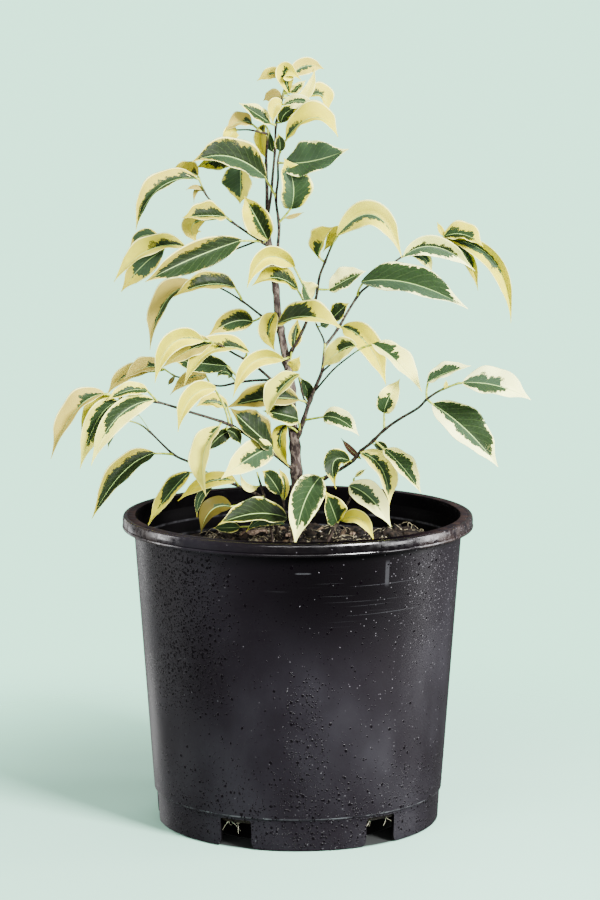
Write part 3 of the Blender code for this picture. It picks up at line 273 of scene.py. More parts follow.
print("leafy stems:", len(LEAFY_STEMS), "leaves and spikes:", leaf_count)

# %% [markdown]
# ## Small tools
#
# A node tree reads best when each step is one short line. `Tree` is a node group under construction: values
# go straight on a node's sockets, and sockets are linked. `grow` runs a geometry tree on a mesh and keeps
# only its plain result, so that no finished piece has a live modifier.

# %% A short way to write node trees
class Tree:
    """A node group under construction."""

    def __init__(self, name, kind, inputs, outputs):
        self.group = bpy.data.node_groups.new(name, kind)
        self.inputs = {}
        for label, socket, value in inputs:
            made = self.group.interface.new_socket(label, in_out='INPUT', socket_type="NodeSocket" + socket)
            if value is not None:
                made.default_value = value
            self.inputs[label] = made.identifier
        for label, socket in outputs:
            self.group.interface.new_socket(label, in_out='OUTPUT', socket_type="NodeSocket" + socket)
        self.source = self.group.nodes.new("NodeGroupInput")
        self.sink = self.group.nodes.new("NodeGroupOutput")

    def given(self, label):
        return self.source.outputs[label]

    def give(self, label, socket):
        self.group.links.new(socket, self.sink.inputs[label])

    def add(self, kind, settings=None, values=()):
        return add_node(self.group, kind, settings, values)

    def sum(self, operation, *values):
        """One step of arithmetic on numbers."""
        return self.add("ShaderNodeMath", {"operation": operation}, enumerate(values)).outputs[0]

    def vector(self, operation, *values):
        """One step of arithmetic on vectors. A number given to SCALE is its factor."""
        node = self.group.nodes.new("ShaderNodeVectorMath")
        node.operation = operation
        for place, value in enumerate(values):
            put(self.group, node.inputs["Scale" if operation == 'SCALE' and place else place], value)
        return node.outputs["Value" if operation in ('DOT_PRODUCT', 'LENGTH') else "Vector"]

    def join(self, x, y, z):
        return self.add("ShaderNodeCombineXYZ", values=enumerate((x, y, z))).outputs[0]

    def split(self, vector):
        return self.add("ShaderNodeSeparateXYZ", values=[(0, vector)]).outputs

    def ramp(self, value, low, high, bottom=0.0, top=1.0):
        """The value's place between low and high, eased, as a number from bottom to top."""
        settings = {"interpolation_type": 'SMOOTHSTEP'}
        return self.add("ShaderNodeMapRange", settings, enumerate((value, low, high, bottom, top))).outputs[0]

    def blend(self, share, first, second):
        """A colour between two colours."""
        settings = {"data_type": 'RGBA', "clamp_factor": True}
        return self.add("ShaderNodeMix", settings, [(0, share), (6, first), (7, second)]).outputs[2]

    def noise(self, place, scale, detail=2.0):
        return self.add("ShaderNodeTexNoise", values=[(0, place), ("Scale", scale), ("Detail", detail)]).outputs[0]

    def named(self, name, kind='FLOAT'):
        return self.add("GeometryNodeInputNamedAttribute", {"data_type": kind}, [(0, name)]).outputs[0]

    def store(self, geometry, name, value, kind='FLOAT', domain='POINT'):
        settings = {"data_type": kind, "domain": domain}
        return self.add("GeometryNodeStoreNamedAttribute", settings, [(0, geometry), (2, name), (3, value)]).outputs[0]


def put(tree, socket, value):
    """Link a socket, or set its value."""
    if isinstance(value, bpy.types.NodeSocket):
        tree.links.new(value, socket)
    else:
        socket.default_value = value


def add_node(tree, kind, settings=None, values=()):
    node = tree.nodes.new(kind)
    for key, value in (settings or {}).items():
        setattr(node, key, value)
    for key, value in values:
        put(tree, node.inputs[key], value)
    return node


def grow(name, mesh, tree, settings, materials):
    """Run a geometry tree on a mesh and keep the plain mesh that comes out."""
    thing = bpy.data.objects.new(name, mesh)
    bpy.context.scene.collection.objects.link(thing)
    modifier = thing.modifiers.new("Grow", 'NODES')
    modifier.node_group = tree.group
    for label, value in settings.items():
        modifier[tree.inputs[label]] = value
    for label, material in materials.items():
        modifier[tree.inputs[label]] = material
    bpy.context.view_layer.update()
    shown = thing.evaluated_get(bpy.context.evaluated_depsgraph_get())
    result = bpy.data.meshes.new_from_object(shown)
    thing.modifiers.clear()
    thing.data = result
    result.name = name
    bpy.data.meshes.remove(mesh)
    triangles = sum(len(face.vertices) - 2 for face in result.polygons)
    print(name, "triangles:", triangles)
    return thing


def hand_in(thing, slot, *nodes):
    """A finished piece: it rides on the part's one body and stands for its CAD nodes."""
    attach(thing, "root")
    if nodes:
        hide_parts(*nodes)

# %% [markdown]
# ## Painting a variegated leaf
#
# The green of a cream-edged fig isn't printed on: cells without chlorophyll form the margin, and the border
# between them and the green cells follows the side veins. So the border runs out and back in steps, one for
# each gap between two veins, and flecks of green lie in the cream. A second, paler layer of green shows
# where only the deeper cells are green.
#
# The pattern is worked out from the leaf's own coordinates: how far along it a point is, how far out from
# the midrib, and a seed. A picture would repeat on each leaf. This way no two leaves are alike, and each
# still has the wide or narrow green that its own values ask for.

# %% Variegation as a shader group of masks
VEIN_PAIRS = 13.0
VEIN_SLANT = 0.16
MIDRIB_WIDTH = 0.040
LOBES = 1.5
RIM_START = 0.88


def make_variegation():
    tree = Tree("Variegation", 'ShaderNodeTree',
                [("Along", 'Float', 0.0), ("Out", 'Float', 0.0), ("Seed", 'Float', 0.0),
                 ("Green", 'Float', 0.5), ("Reach", 'Float', 1.0)],
                [("Green", 'Float'), ("Pale Green", 'Float'), ("Veins", 'Float'), ("Midrib", 'Float'),
                 ("Rim", 'Float')])
    along = tree.given("Along")
    out = tree.given("Out")
    seed = tree.given("Seed")
    far = tree.sum('ABSOLUTE', out)
    half = tree.sum('SIGN', out)
    slanted = tree.sum('MULTIPLY_ADD', far, -VEIN_SLANT, along)
    ragged = tree.noise(tree.join(tree.sum('MULTIPLY', along, 9.0), tree.sum('MULTIPLY', out, 2.4), seed), 2.2, 6.0)
    ragged = tree.sum('SUBTRACT', ragged, 0.5)

    def gaps(count, shift):
        """The gaps between side veins: each one's own draw, and how near its middle a point lies."""
        place = tree.sum('MULTIPLY_ADD', slanted, count, tree.sum('MULTIPLY_ADD', ragged, 0.5, shift))
        gap = tree.sum('FLOOR', place)
        draw = tree.add("ShaderNodeTexWhiteNoise", {"noise_dimensions": '3D'}, [(0, tree.join(gap, half, seed))])
        aside = tree.sum('SUBTRACT', tree.sum('SUBTRACT', place, gap), 0.5)
        middle = tree.sum('MULTIPLY_ADD', tree.sum('MULTIPLY', aside, aside), -4.0, 1.0)
        return draw.outputs["Value"], middle

    # the green swells and shrinks along the blade, steps at some veins, and bulges between them
    lobe = tree.noise(tree.join(tree.sum('MULTIPLY', along, 3.1), tree.sum('MULTIPLY', half, 5.0), seed), 1.0, 1.0)
    swing = tree.ramp(tree.given("Green"), 0.60, 0.95, LOBES, 0.0)
    lobe = tree.sum('MULTIPLY_ADD', tree.sum('SUBTRACT', lobe, 0.5), swing, 1.0)
    shares = 0.0
    for count, shift, step, bulge in ((VEIN_PAIRS / 2.4, 0.3, 0.26, 0.05), (VEIN_PAIRS, 0.0, 0.10, 0.08),
                                      (VEIN_PAIRS * 2.6, 0.6, 0.05, 0.03)):
        draw, middle = gaps(count, shift)
        taken = tree.sum('MULTIPLY', tree.sum('SUBTRACT', draw, 0.5), step)
        grown = tree.sum('MULTIPLY', tree.sum('SUBTRACT', middle, 0.6), bulge)
        shares = tree.sum('ADD', shares, tree.sum('ADD', taken, grown))
    present = tree.ramp(tree.given("Green"), 0.0, 0.03)
    shares = tree.sum('MULTIPLY', shares, tree.ramp(tree.given("Green"), 0.0, 0.25))
    edge = tree.sum('ADD', tree.sum('MULTIPLY', tree.given("Green"), lobe), shares)
    edge = tree.sum('MULTIPLY_ADD', ragged, 0.24, edge)
    # a pale rim is kept all round, and the green ends where its reach ends
    kept = tree.sum('MULTIPLY_ADD', tree.given("Green"), 0.14, 0.80)
    edge = tree.sum('MINIMUM', edge, tree.sum('MULTIPLY_ADD', shares, 0.25, kept))
    end = tree.sum('MULTIPLY_ADD', shares, 0.35, tree.given("Reach"))
    closing = tree.ramp(along, tree.sum('SUBTRACT', end, 0.16), end, 1.0, 0.0)
    closing = tree.sum('MULTIPLY', closing, present)
    deep = tree.sum('SUBTRACT', tree.sum('MULTIPLY', edge, closing),
                    tree.sum('MULTIPLY', 0.05, tree.sum('SUBTRACT', 1.0, closing)))
    tree.give("Green", tree.ramp(tree.sum('SUBTRACT', deep, far), -0.006, 0.016))
    draw, middle = gaps(VEIN_PAIRS * 0.8, 0.5)
    paler = tree.sum('MAXIMUM', tree.sum('ADD', ragged, tree.sum('SUBTRACT', draw, 0.5)), 0.0)
    wider = tree.sum('MULTIPLY_ADD', paler, 0.20, deep)
    tree.give("Pale Green", tree.sum('MULTIPLY', tree.ramp(tree.sum('SUBTRACT', wider, far), -0.006, 0.03), present))
    between = tree.sum('MULTIPLY_ADD', far, -0.28, along)
    between = tree.sum('MULTIPLY_ADD', ragged, 0.03, between)
    between = tree.sum('SUBTRACT', tree.sum('FRACT', tree.sum('MULTIPLY', between, VEIN_PAIRS * 0.75)), 0.5)
    lines = tree.ramp(tree.sum('ABSOLUTE', between), 0.44, 0.5)
    tree.give("Veins", tree.sum('MULTIPLY', lines, tree.ramp(ragged, -0.30, 0.05)))
    narrowing = tree.sum('MULTIPLY', MIDRIB_WIDTH, tree.sum('MULTIPLY_ADD', along, -0.45, 1.15))
    tree.give("Midrib", tree.ramp(far, tree.sum('MULTIPLY', narrowing, 0.5), narrowing, 1.0, 0.0))
    tree.give("Rim", tree.ramp(far, RIM_START, RIM_START + 0.05))
    return tree


def make_mottle():
    """Soft patches of two sizes, for anything that grew or weathered."""
    tree = Tree("Mottle", 'ShaderNodeTree',
                [("Place", 'Vector', None), ("Scale", 'Float', 100.0), ("Low", 'Float', 0.35), ("High", 'Float', 0.65)],
                [("Patches", 'Float')])
    coarse = tree.noise(tree.given("Place"), tree.given("Scale"), 5.0)
    tree.give("Patches", tree.ramp(coarse, tree.given("Low"), tree.given("High")))
    return tree


variegation = make_variegation()
mottle = make_mottle()
print("shader groups:", variegation.group.name, "and", mottle.group.name)

# %% [markdown]
# ## The leaf's finish
#
# A weeping fig's blade is waxy: soft highlights run along it, and light that enters one side glows out of
# the other, most of all through the cream. The upper side is the darker one. A little scattering under the
# surface, a low roughness and a fine bump from the veins give that, with no picture.

# %% Materials that are built from the Principled shader
def linear(red, green, blue):
    """A colour read from 0 to 255 as it shows on a screen, as the shader needs it."""
    return tuple((c / 255 / 12.92 if c / 255 <= 0.04045 else ((c / 255 + 0.055) / 1.055) ** 2.4)
                 for c in (red, green, blue)) + (1.0,)


class Paint(Tree):
    """A material's own tree, with the same short steps as a group."""

    def __init__(self, name):
        self.material = bpy.data.materials.new(name)
        self.material.use_nodes = True
        self.group = self.material.node_tree
        self.shader = self.group.nodes["Principled BSDF"]

    def attribute(self, name):
        return self.add("ShaderNodeAttribute", {"attribute_name": name}).outputs["Vector"]

    def place(self):
        return self.add("ShaderNodeTexCoord").outputs["Object"]

    def use(self, tree, **values):
        node = self.group.nodes.new("ShaderNodeGroup")
        node.node_tree = tree.group
        for key, value in values.items():
            put(self.group, node.inputs[key.replace("_", " ")], value)
        return node.outputs

    def bump(self, height, distance, strength=1.0):
        node = self.add("ShaderNodeBump", values=[("Strength", strength), ("Distance", distance), ("Height", height)])
        put(self.group, self.shader.inputs["Normal"], node.outputs[0])

    def set(self, **values):
        for key, value in values.items():
            put(self.group, self.shader.inputs[key.replace("_", " ")], value)


# The picture's film curve lifts the darks and pales the brights. So the greens are mixed darker, and the
# creams stronger, than they look.
WHITE_CREAM = (0.92, 0.97, 0.38, 1.0)
YELLOW_CREAM = (0.58, 0.53, 0.012, 1.0)
OCHRE = (0.38, 0.305, 0.060, 1.0)
FOLD_SHADE_TINT = (0.60, 0.62, 0.34)
SHADED_OLIVE = (0.085, 0.070, 0.012, 1.0)
WITHERED = (0.035, 0.016, 0.009, 1.0)
DEEP_GREEN = (0.0066, 0.0120, 0.0030, 1.0)
LEAF_GREEN = (0.0150, 0.0310, 0.0100, 1.0)
GREY_GREEN = (0.0340, 0.0620, 0.0320, 1.0)
RIB_CREAM = (0.40, 0.60, 0.19, 1.0)


def make_leaf_paint():
    paint = Paint("leaf")
    along, out, seed = paint.split(paint.attribute("leaf_uv"))
    green_left, green_right, reach = paint.split(paint.attribute("leaf_green"))
    cream, dark_left, dark_right = paint.split(paint.attribute("leaf_tone"))
    right = paint.ramp(out, -0.01, 0.01)
    green = paint.add("ShaderNodeMix", values=[(0, right), (2, green_left), (3, green_right)]).outputs[0]
    dark = paint.add("ShaderNodeMix", values=[(0, right), (2, dark_left), (3, dark_right)]).outputs[0]
    masks = paint.use(variegation, Along=along, Out=out, Seed=seed, Green=green, Reach=reach)
    margin = paint.blend(paint.ramp(cream, 0.0, 0.5), WHITE_CREAM, YELLOW_CREAM)
    margin = paint.blend(paint.ramp(cream, 0.5, 1.0), margin, OCHRE)
    # painted shade: from 1 to 1.5 the margin is painted dark olive, for leaves that lie in the shadow of others
    margin = paint.blend(paint.ramp(cream, 1.0, 1.5), margin, SHADED_OLIVE)
    margin = paint.blend(paint.ramp(cream, 1.5, 2.0), margin, WITHERED)
    patches = paint.use(mottle, Place=paint.place(), Scale=160.0)[0]
    patched = paint.sum('MULTIPLY', paint.ramp(cream, 0.0, 0.8, 0.06, 0.42), paint.ramp(cream, 1.0, 1.5, 1.0, 0.0))
    margin = paint.blend(paint.sum('MULTIPLY', patches, patched), margin, OCHRE)
    # painted shade: where a half's dark value passes 0.55, its margin is painted darker and yellower, as the half of
    # the fold that lies in shade
    fold_shaded = paint.vector('MULTIPLY', margin, FOLD_SHADE_TINT)
    margin = paint.blend(paint.ramp(dark, 0.55, 1.0), margin, fold_shaded)
    rim = paint.sum('MULTIPLY', masks["Rim"], paint.ramp(cream, 0.9, 1.5, 0.6, 0.0))
    margin = paint.blend(rim, margin, WHITE_CREAM)
    # each half's green is painted darker by its dark value: the green's own tone and painted shade together
    body = paint.blend(paint.ramp(dark, 0.0, 0.5), GREY_GREEN, LEAF_GREEN)
    body = paint.blend(paint.ramp(dark, 0.5, 1.0), body, DEEP_GREEN)
    grain = paint.use(mottle, Place=paint.place(), Scale=900.0)[0]
    body = paint.blend(paint.sum('MULTIPLY', grain, paint.ramp(dark, 0.0, 1.0, 0.34, 0.10)), body, GREY_GREEN)
    pale = paint.blend(0.65, body, GREY_GREEN)
    colour = paint.blend(masks["Pale Green"], margin, pale)
    colour = paint.blend(masks["Green"], colour, body)
    veined = paint.sum('MULTIPLY', paint.sum('MULTIPLY', masks["Veins"], masks["Green"]), 0.07)
    colour = paint.blend(veined, colour, RIB_CREAM)
    colour = paint.blend(paint.sum('MULTIPLY', masks["Midrib"], 0.65), colour, RIB_CREAM)
    under = paint.add("ShaderNodeAttribute", {"attribute_name": "leaf_under"}).outputs["Fac"]
    under = paint.sum('MULTIPLY', under, paint.sum('MULTIPLY_ADD', masks["Green"], 0.35, 0.10))
    colour = paint.blend(paint.sum('MULTIPLY', under, paint.sum('SUBTRACT', 1.0, masks["Rim"])), colour, GREY_GREEN)
    paint.set(Base_Color=colour, Roughness=paint.ramp(patches, 0.0, 1.0, 0.40, 0.52), Subsurface_Weight=0.06,
              Subsurface_Scale=0.0015, Subsurface_Radius=(0.7, 1.0, 0.3), Specular_IOR_Level=0.06)
    relief = paint.sum('SUBTRACT', paint.sum('MULTIPLY', masks["Veins"], -0.25), masks["Midrib"])
    paint.bump(relief, 0.0003, 0.6)
    return paint.material


def make_twig_paint():
    """Petioles are green, young twigs brown, older ones grey-brown: the attribute leaf_wood runs from 0 to 1."""
    paint = Paint("twig")
    wood = paint.add("ShaderNodeAttribute", {"attribute_name": "leaf_wood"}).outputs["Fac"]
    patches = paint.use(mottle, Place=paint.place(), Scale=420.0)[0]
    young = paint.blend(patches, (0.200, 0.260, 0.018, 1.0), (0.420, 0.480, 0.080, 1.0))
    flecks = paint.use(mottle, Place=paint.place(), Scale=700.0, Low=0.52, High=0.60)[0]
    brown = paint.blend(patches, (0.0090, 0.0060, 0.0055, 1.0), (0.0360, 0.0250, 0.0190, 1.0))
    brown = paint.blend(paint.sum('MULTIPLY', flecks, 0.45), brown, (0.110, 0.092, 0.062, 1.0))
    paint.set(Base_Color=paint.blend(paint.ramp(wood, 0.15, 0.6), young, brown), Roughness=0.70,
              Specular_IOR_Level=0.12)
    paint.bump(patches, 0.0002, 0.5)
    return paint.material


leaf_paint = make_leaf_paint()
twig_paint = make_twig_paint()
print("leaf finish:", len(leaf_paint.node_tree.nodes), "nodes; twig finish:", len(twig_paint.node_tree.nodes))

# %% [markdown]
# ## Leaves and twigs that grow along lines
#
# A blade is a midrib with two wings, and a twig is a centre line with a thickness, so both can be drawn from
# lines that know their own frame. Each midrib here is a short chain of points. Every point carries where the
# blade's right and upper sides point, how wide the blade is there, and how far its wings are folded up.
#
# One node tree turns the chains into surfaces. The blade is swept as a closed, very flat loop, so that its
# edge is round and it has an upper and a lower face, as a leaf has. The tree also lifts the wings in slow
# waves and hands the leaf's coordinates on to its paint.

# %% The tree for twigs, petioles and the trunk
def make_bark_tube():
    tree = Tree("Bark tube", 'GeometryNodeTree',
                [("Lines", 'Geometry', None), ("Sides", 'Int', 8), ("Lump Size", 'Float', 0.0001),
                 ("Lump Scale", 'Float', 500.0), ("Finish", 'Material', None)],
                [("Tube", 'Geometry')])
    curve = tree.add("GeometryNodeMeshToCurve", values=[(0, tree.given("Lines"))]).outputs[0]
    loop = tree.add("GeometryNodeCurvePrimitiveCircle", values=[("Resolution", tree.given("Sides")), ("Radius", 1.0)])
    tube = tree.add("GeometryNodeCurveToMesh",
                    values=[(0, curve), (1, loop.outputs[0]), ("Scale", tree.named("half")), ("Fill Caps", True)])
    place = tree.add("GeometryNodeInputPosition").outputs[0]
    lump = tree.sum('SUBTRACT', tree.noise(place, tree.given("Lump Scale"), 3.0), 0.5)
    normal = tree.add("GeometryNodeInputNormal").outputs[0]
    moved = tree.vector('SCALE', normal, tree.sum('MULTIPLY', lump, tree.given("Lump Size")))
    tube = tree.add("GeometryNodeSetPosition", values=[(0, tube.outputs[0]), ("Offset", moved)]).outputs[0]
    tube = tree.add("GeometryNodeSetShadeSmooth", values=[(0, tube), (2, True)]).outputs[0]
    whole = tree.add("GeometryNodeRealizeInstances", values=[(0, tube)]).outputs[0]
    tree.give("Tube", tree.add("GeometryNodeSetMaterial", values=[(0, whole), (2, tree.given("Finish"))]).outputs[0])
    return tree


# %% The tree for blades
def make_blades():
    tree = Tree("Blades", 'GeometryNodeTree',
                [("Midribs", 'Geometry', None), ("Loop Points", 'Int', 20), ("Thickness", 'Float', 0.0004),
                 ("Wave", 'Float', 0.10), ("Finish", 'Material', None)],
                [("Blades", 'Geometry')])
    curve = tree.add("GeometryNodeMeshToCurve", values=[(0, tree.given("Midribs"))]).outputs[0]
    loop = tree.add("GeometryNodeCurvePrimitiveCircle",
                    values=[("Resolution", tree.given("Loop Points")), ("Radius", MM)]).outputs[0]
    turn = tree.sum('DIVIDE', tree.add("GeometryNodeInputIndex").outputs[0], tree.given("Loop Points"))
    turn = tree.sum('MULTIPLY', turn, 2 * pi)
    loop = tree.store(loop, "leaf_out", tree.sum('COSINE', turn))
    loop = tree.store(loop, "leaf_face", tree.sum('SINE', turn))
    sweep = tree.add("GeometryNodeCurveToMesh", values=[(0, curve), (1, loop), ("Fill Caps", True)]).outputs[0]
    sweep = tree.add("GeometryNodeFlipFaces", values=[(0, sweep)]).outputs[0]
    out = tree.named("leaf_out")
    face = tree.named("leaf_face")
    along = tree.named("along")
    half = tree.named("half")
    fold = tree.named("fold")
    seed = tree.named("seed")
    far = tree.sum('ABSOLUTE', out)
    spread = tree.sum('MULTIPLY', tree.sum('MULTIPLY', half, out), tree.sum('COSINE', fold))
    wing = tree.sum('MULTIPLY', half, far)
    lift = tree.sum('MULTIPLY', wing, tree.sum('SINE', fold))
    # the wings bend back down a little towards their rims
    lift = tree.sum('MULTIPLY', lift, tree.sum('MULTIPLY_ADD', far, -0.22, 1.12))
    beat = tree.sum('MULTIPLY_ADD', along, 2.6, tree.sum('MULTIPLY_ADD', out, 0.16, seed))
    wave = tree.sum('SINE', tree.sum('MULTIPLY', beat, 2 * pi))
    wave = tree.sum('MULTIPLY', tree.sum('MULTIPLY', wave, tree.given("Wave")), tree.sum('MULTIPLY', wing, far))
    thin = tree.sum('MULTIPLY_ADD', far, -0.45, 1.0)
    thick = tree.sum('MULTIPLY', tree.sum('MULTIPLY', face, thin), tree.sum('DIVIDE', tree.given("Thickness"), 2.0))
    raised = tree.sum('ADD', tree.sum('ADD', lift, wave), thick)
    across = tree.vector('SCALE', tree.named("right", 'FLOAT_VECTOR'), spread)
    upward = tree.vector('SCALE', tree.named("up", 'FLOAT_VECTOR'), raised)
    place = tree.vector('ADD', tree.vector('ADD', tree.named("centre", 'FLOAT_VECTOR'), across), upward)
    blades = tree.add("GeometryNodeSetPosition", values=[(0, sweep), ("Position", place)]).outputs[0]
    blades = tree.store(blades, "leaf_uv", tree.join(along, out, seed), 'FLOAT_VECTOR')
    blades = tree.store(blades, "leaf_under", tree.ramp(face, -0.1, 0.1, 1.0, 0.0))
    flat = tree.join(along, tree.sum('MULTIPLY_ADD', out, 0.5, 0.5), 0.0)
    blades = tree.store(blades, "UVMap", flat, 'FLOAT2', 'CORNER')
    blades = tree.add("GeometryNodeSetShadeSmooth", values=[(0, blades), (2, True)]).outputs[0]
    whole = tree.add("GeometryNodeRealizeInstances", values=[(0, blades)]).outputs[0]
    tree.give("Blades", tree.add("GeometryNodeSetMaterial", values=[(0, whole), (2, tree.given("Finish"))]).outputs[0])
    return tree


bark_tube = make_bark_tube()
blades = make_blades()


# %% The tree for a whole leafy stem
def make_leafy_growth():
    """Chains marked as wood become twigs, and the rest become blades: one piece, as it grew."""
    tree = Tree("Leafy stem", 'GeometryNodeTree',
                [("Chains", 'Geometry', None), ("Loop Points", 'Int', 20), ("Twig Sides", 'Int', 8),
                 ("Thickness", 'Float', 0.0004), ("Wave", 'Float', 0.10), ("Leaf Finish", 'Material', None),
                 ("Twig Finish", 'Material', None)],
                [("Stem", 'Geometry')])
    parted = tree.add("GeometryNodeSeparateGeometry", {"domain": 'POINT'},
                      [(0, tree.given("Chains")), (1, tree.sum('GREATER_THAN', tree.named("is_wood"), 0.5))])
    twig = tree.add("GeometryNodeGroup", {"node_tree": bark_tube.group},
                    [("Lines", parted.outputs[0]), ("Sides", tree.given("Twig Sides")), ("Lump Size", 0.00022),
                     ("Lump Scale", 600.0), ("Finish", tree.given("Twig Finish"))])
    leaf = tree.add("GeometryNodeGroup", {"node_tree": blades.group},
                    [("Midribs", parted.outputs[1]), ("Loop Points", tree.given("Loop Points")),
                     ("Thickness", tree.given("Thickness")), ("Wave", tree.given("Wave")),
                     ("Finish", tree.given("Leaf Finish"))])
    both = tree.add("GeometryNodeJoinGeometry").inputs[0]
    tree.group.links.new(twig.outputs[0], both)
    tree.group.links.new(leaf.outputs[0], both)
    whole = tree.add("GeometryNodeRealizeInstances", values=[(0, both.node.outputs[0])]).outputs[0]
    tree.give("Stem", whole)
    return tree


leafy_growth = make_leafy_growth()
print("trees:", bark_tube.group.name, "/", blades.group.name, "/", leafy_growth.group.name)

# %% [markdown]
# ## The chains that the trees run on
#
# A midrib is a bow through the leaf's base, middle and tip. Its upper side faces the viewer, turned about the
# midrib by the leaf's own turn: that is how the layout was read off the photo. The blade is widest a third of
# the way along and runs out in the long drip tip that figs have.
#
# A petiole leaves its stem at the joint given, or else at the stem's nearest point, and bows into the
# blade. The stem swells where a petiole leaves it, as it does at every node of a fig.

# %% Shapes of a leaf
BLADE_ROWS = 26
LEAF_SWELL = 0.85
LEAF_TAPER = 1.10
DRIP_START = 0.78
DRIP_SHARE = 0.40
LEAST_HALF = 0.00035
PETIOLE = 0.68
PETIOLE_BOW = 0.12
NODE_SWELL = 0.35
NODE_LENGTH = 1.4
YOUNG_END = 5


def bow_point(base, middle, tip, u):
    bow = middle * 2 - (base + tip) / 2
    return base * (1 - u) ** 2 + bow * 2 * u * (1 - u) + tip * u ** 2


def half_width(width, u):
    fullest = LEAF_SWELL / (LEAF_SWELL + LEAF_TAPER)
    full = fullest ** LEAF_SWELL * (1 - fullest) ** LEAF_TAPER
    drip = max(0.0, (u - DRIP_START) / (1 - DRIP_START))
    return width / 2 * u ** LEAF_SWELL * (1 - u) ** LEAF_TAPER / full * (1 - DRIP_SHARE * drip * (2 - drip))


def smooth_route(points, steps):
    """A smooth line through the points."""
    ends = [points[0] * 2 - points[1]] + points + [points[-1] * 2 - points[-2]]
    route = []
    for a, b, c, d in zip(ends, ends[1:], ends[2:], ends[3:]):
        for k in range(steps):
            t = k / steps
            route.append(0.5 * (2 * b + (c - a) * t + (2 * a - 5 * b + 4 * c - d) * t ** 2
                                + (3 * b - a - 3 * c + d) * t ** 3))
    return route + [points[-1]]


def nearest_place(routes, target):
    """The point of the routes that is best by a measure, with smaller better."""
    places = [a.lerp(b, k / 4) for route in routes for a, b in zip(route, route[1:]) for k in range(4)]
    return min(places, key=target)


class Chains:
    """Chains of points, each with the values that the trees read."""
    VECTORS = ("centre", "right", "up", "leaf_green", "leaf_tone")
    NUMBERS = ("half", "along", "fold", "seed", "is_wood", "leaf_wood")

    def __init__(self):
        self.points = []
        self.links = []
        self.values = {name: [] for name in self.VECTORS + self.NUMBERS}

    def start(self):
        self.fresh = True

    def put(self, point, **values):
        if not self.fresh:
            self.links.append((len(self.points) - 1, len(self.points)))
        self.fresh = False
        self.points.append(point)
        for name in self.VECTORS:
            self.values[name].append(values.get(name, (0.0, 0.0, 0.0)))
        for name in self.NUMBERS:
            self.values[name].append(values.get(name, 0.0))

    def mesh(self, name):
        mesh = bpy.data.meshes.new(name)
        mesh.from_pydata(self.points, self.links, [])
        for key in self.VECTORS:
            layer = mesh.attributes.new(key, 'FLOAT_VECTOR', 'POINT')
            layer.data.foreach_set("vector", np.array(self.values[key], dtype=np.float32).ravel())
        for key in self.NUMBERS:
            layer = mesh.attributes.new(key, 'FLOAT', 'POINT')
            layer.data.foreach_set("value", np.array(self.values[key], dtype=np.float32))
        return mesh


def lay_twig(chains, route, foot, tip, joints, wood):
    """A tapering twig that swells at its joints. wood gives how woody it is at its foot and at its tip."""
    chains.start()
    lengths = [0.0]
    for a, b in zip(route, route[1:]):
        lengths.append(lengths[-1] + (b - a).length)
    for point, length in zip(route, lengths):
        share = length / lengths[-1]
        near = min([(point - joint).length / MM for joint in joints] + [99.0])
        swell = 1 + NODE_SWELL * 2 ** -((near / NODE_LENGTH) ** 2)
        chains.put(point, half=(foot + (tip - foot) * share) * MM * swell, is_wood=1.0,
                   leaf_wood=wood[0] + (wood[1] - wood[0]) * share ** YOUNG_END, along=share)


def lay_leaf(chains, leaf, foot, seed):
    base, middle, tip = (seen(*point) for point in (leaf.base, leaf.middle, leaf.tip))
    turn = radians(leaf.turn)
    # petiole
    start = bow_point(base, middle, tip, 0.03)
    out = (base - start).normalized()
    reach = (base - foot).length
    hinge = (foot + base) / 2 + out * reach * PETIOLE_BOW
    petiole = [foot.lerp(hinge, t).lerp(hinge.lerp(start, t), t) for t in (k / 7 for k in range(8))]
    thick = min(PETIOLE, 0.10 + leaf.width * 0.05)
    lay_twig(chains, petiole, thick * 1.1, thick * 0.85, [], (0.22, 0.0))
    # blade
    green_left, green_right, reach, cream, dark_left, dark_right = leaf.look
    chains.start()
    for row in range(BLADE_ROWS + 1):
        u = row / BLADE_ROWS
        point = bow_point(base, middle, tip, u)
        ahead = bow_point(base, middle, tip, min(u + 0.02, 1.0))
        along = (ahead - bow_point(base, middle, tip, max(u - 0.02, 0.0))).normalized()
        sight = (EYE - point).normalized()
        front = (sight - along * sight.dot(along)).normalized()
        side = along.cross(front)
        up = front * cos(turn) + side * sin(turn)
        right = side * cos(turn) - front * sin(turn)
        chains.put(point, centre=point, right=right, up=up, along=u, seed=seed, fold=radians(leaf.fold),
                   half=max(half_width(leaf.width * MM, u), LEAST_HALF if u < 0.5 else LEAST_HALF / 2),
                   leaf_green=(green_left, green_right, reach), leaf_tone=(cream, dark_left, dark_right))


def leaf_foot(leaf, routes):
    """Where the petiole leaves its stem."""
    base = seen(*leaf.base)
    if leaf.joint is None:
        return nearest_place(routes, lambda place: (place - base).length)
    return nearest_place(routes, lambda place: (place - seen(*leaf.joint, place.y / MM)).length)


# %% Grow the thirteen leafy stems
STEM_STEPS = 5
TWIG_SHARE = 0.72


def grow_leafy_stem(name, stems, leaves, seed):
    chains = Chains()
    routes = [smooth_route([seen(*point) for point in stem.route], STEM_STEPS) for stem in stems]
    feet = [leaf_foot(leaf, routes) for leaf in leaves]
    for stem, route in zip(stems, routes):
        lay_twig(chains, route, stem.foot * TWIG_SHARE, stem.tip * TWIG_SHARE, feet, (1.0, 0.15))
    for place, (leaf, foot) in enumerate(zip(leaves, feet)):
        lay_leaf(chains, leaf, foot, seed * 1.37 + place * 0.61)
    piece = grow(name + "_grown", chains.mesh(name), leafy_growth,
                 {"Loop Points": 20, "Twig Sides": 8, "Thickness": 0.00045, "Wave": 0.10},
                 {"Leaf Finish": leaf_paint, "Twig Finish": twig_paint})
    hand_in(piece, "leafy_stem", name)
    return piece


grown = [grow_leafy_stem(name, stems, leaves, number)
         for number, (name, (stems, leaves)) in enumerate(LEAFY_STEMS.items())]
print("leafy pieces:", len(grown))

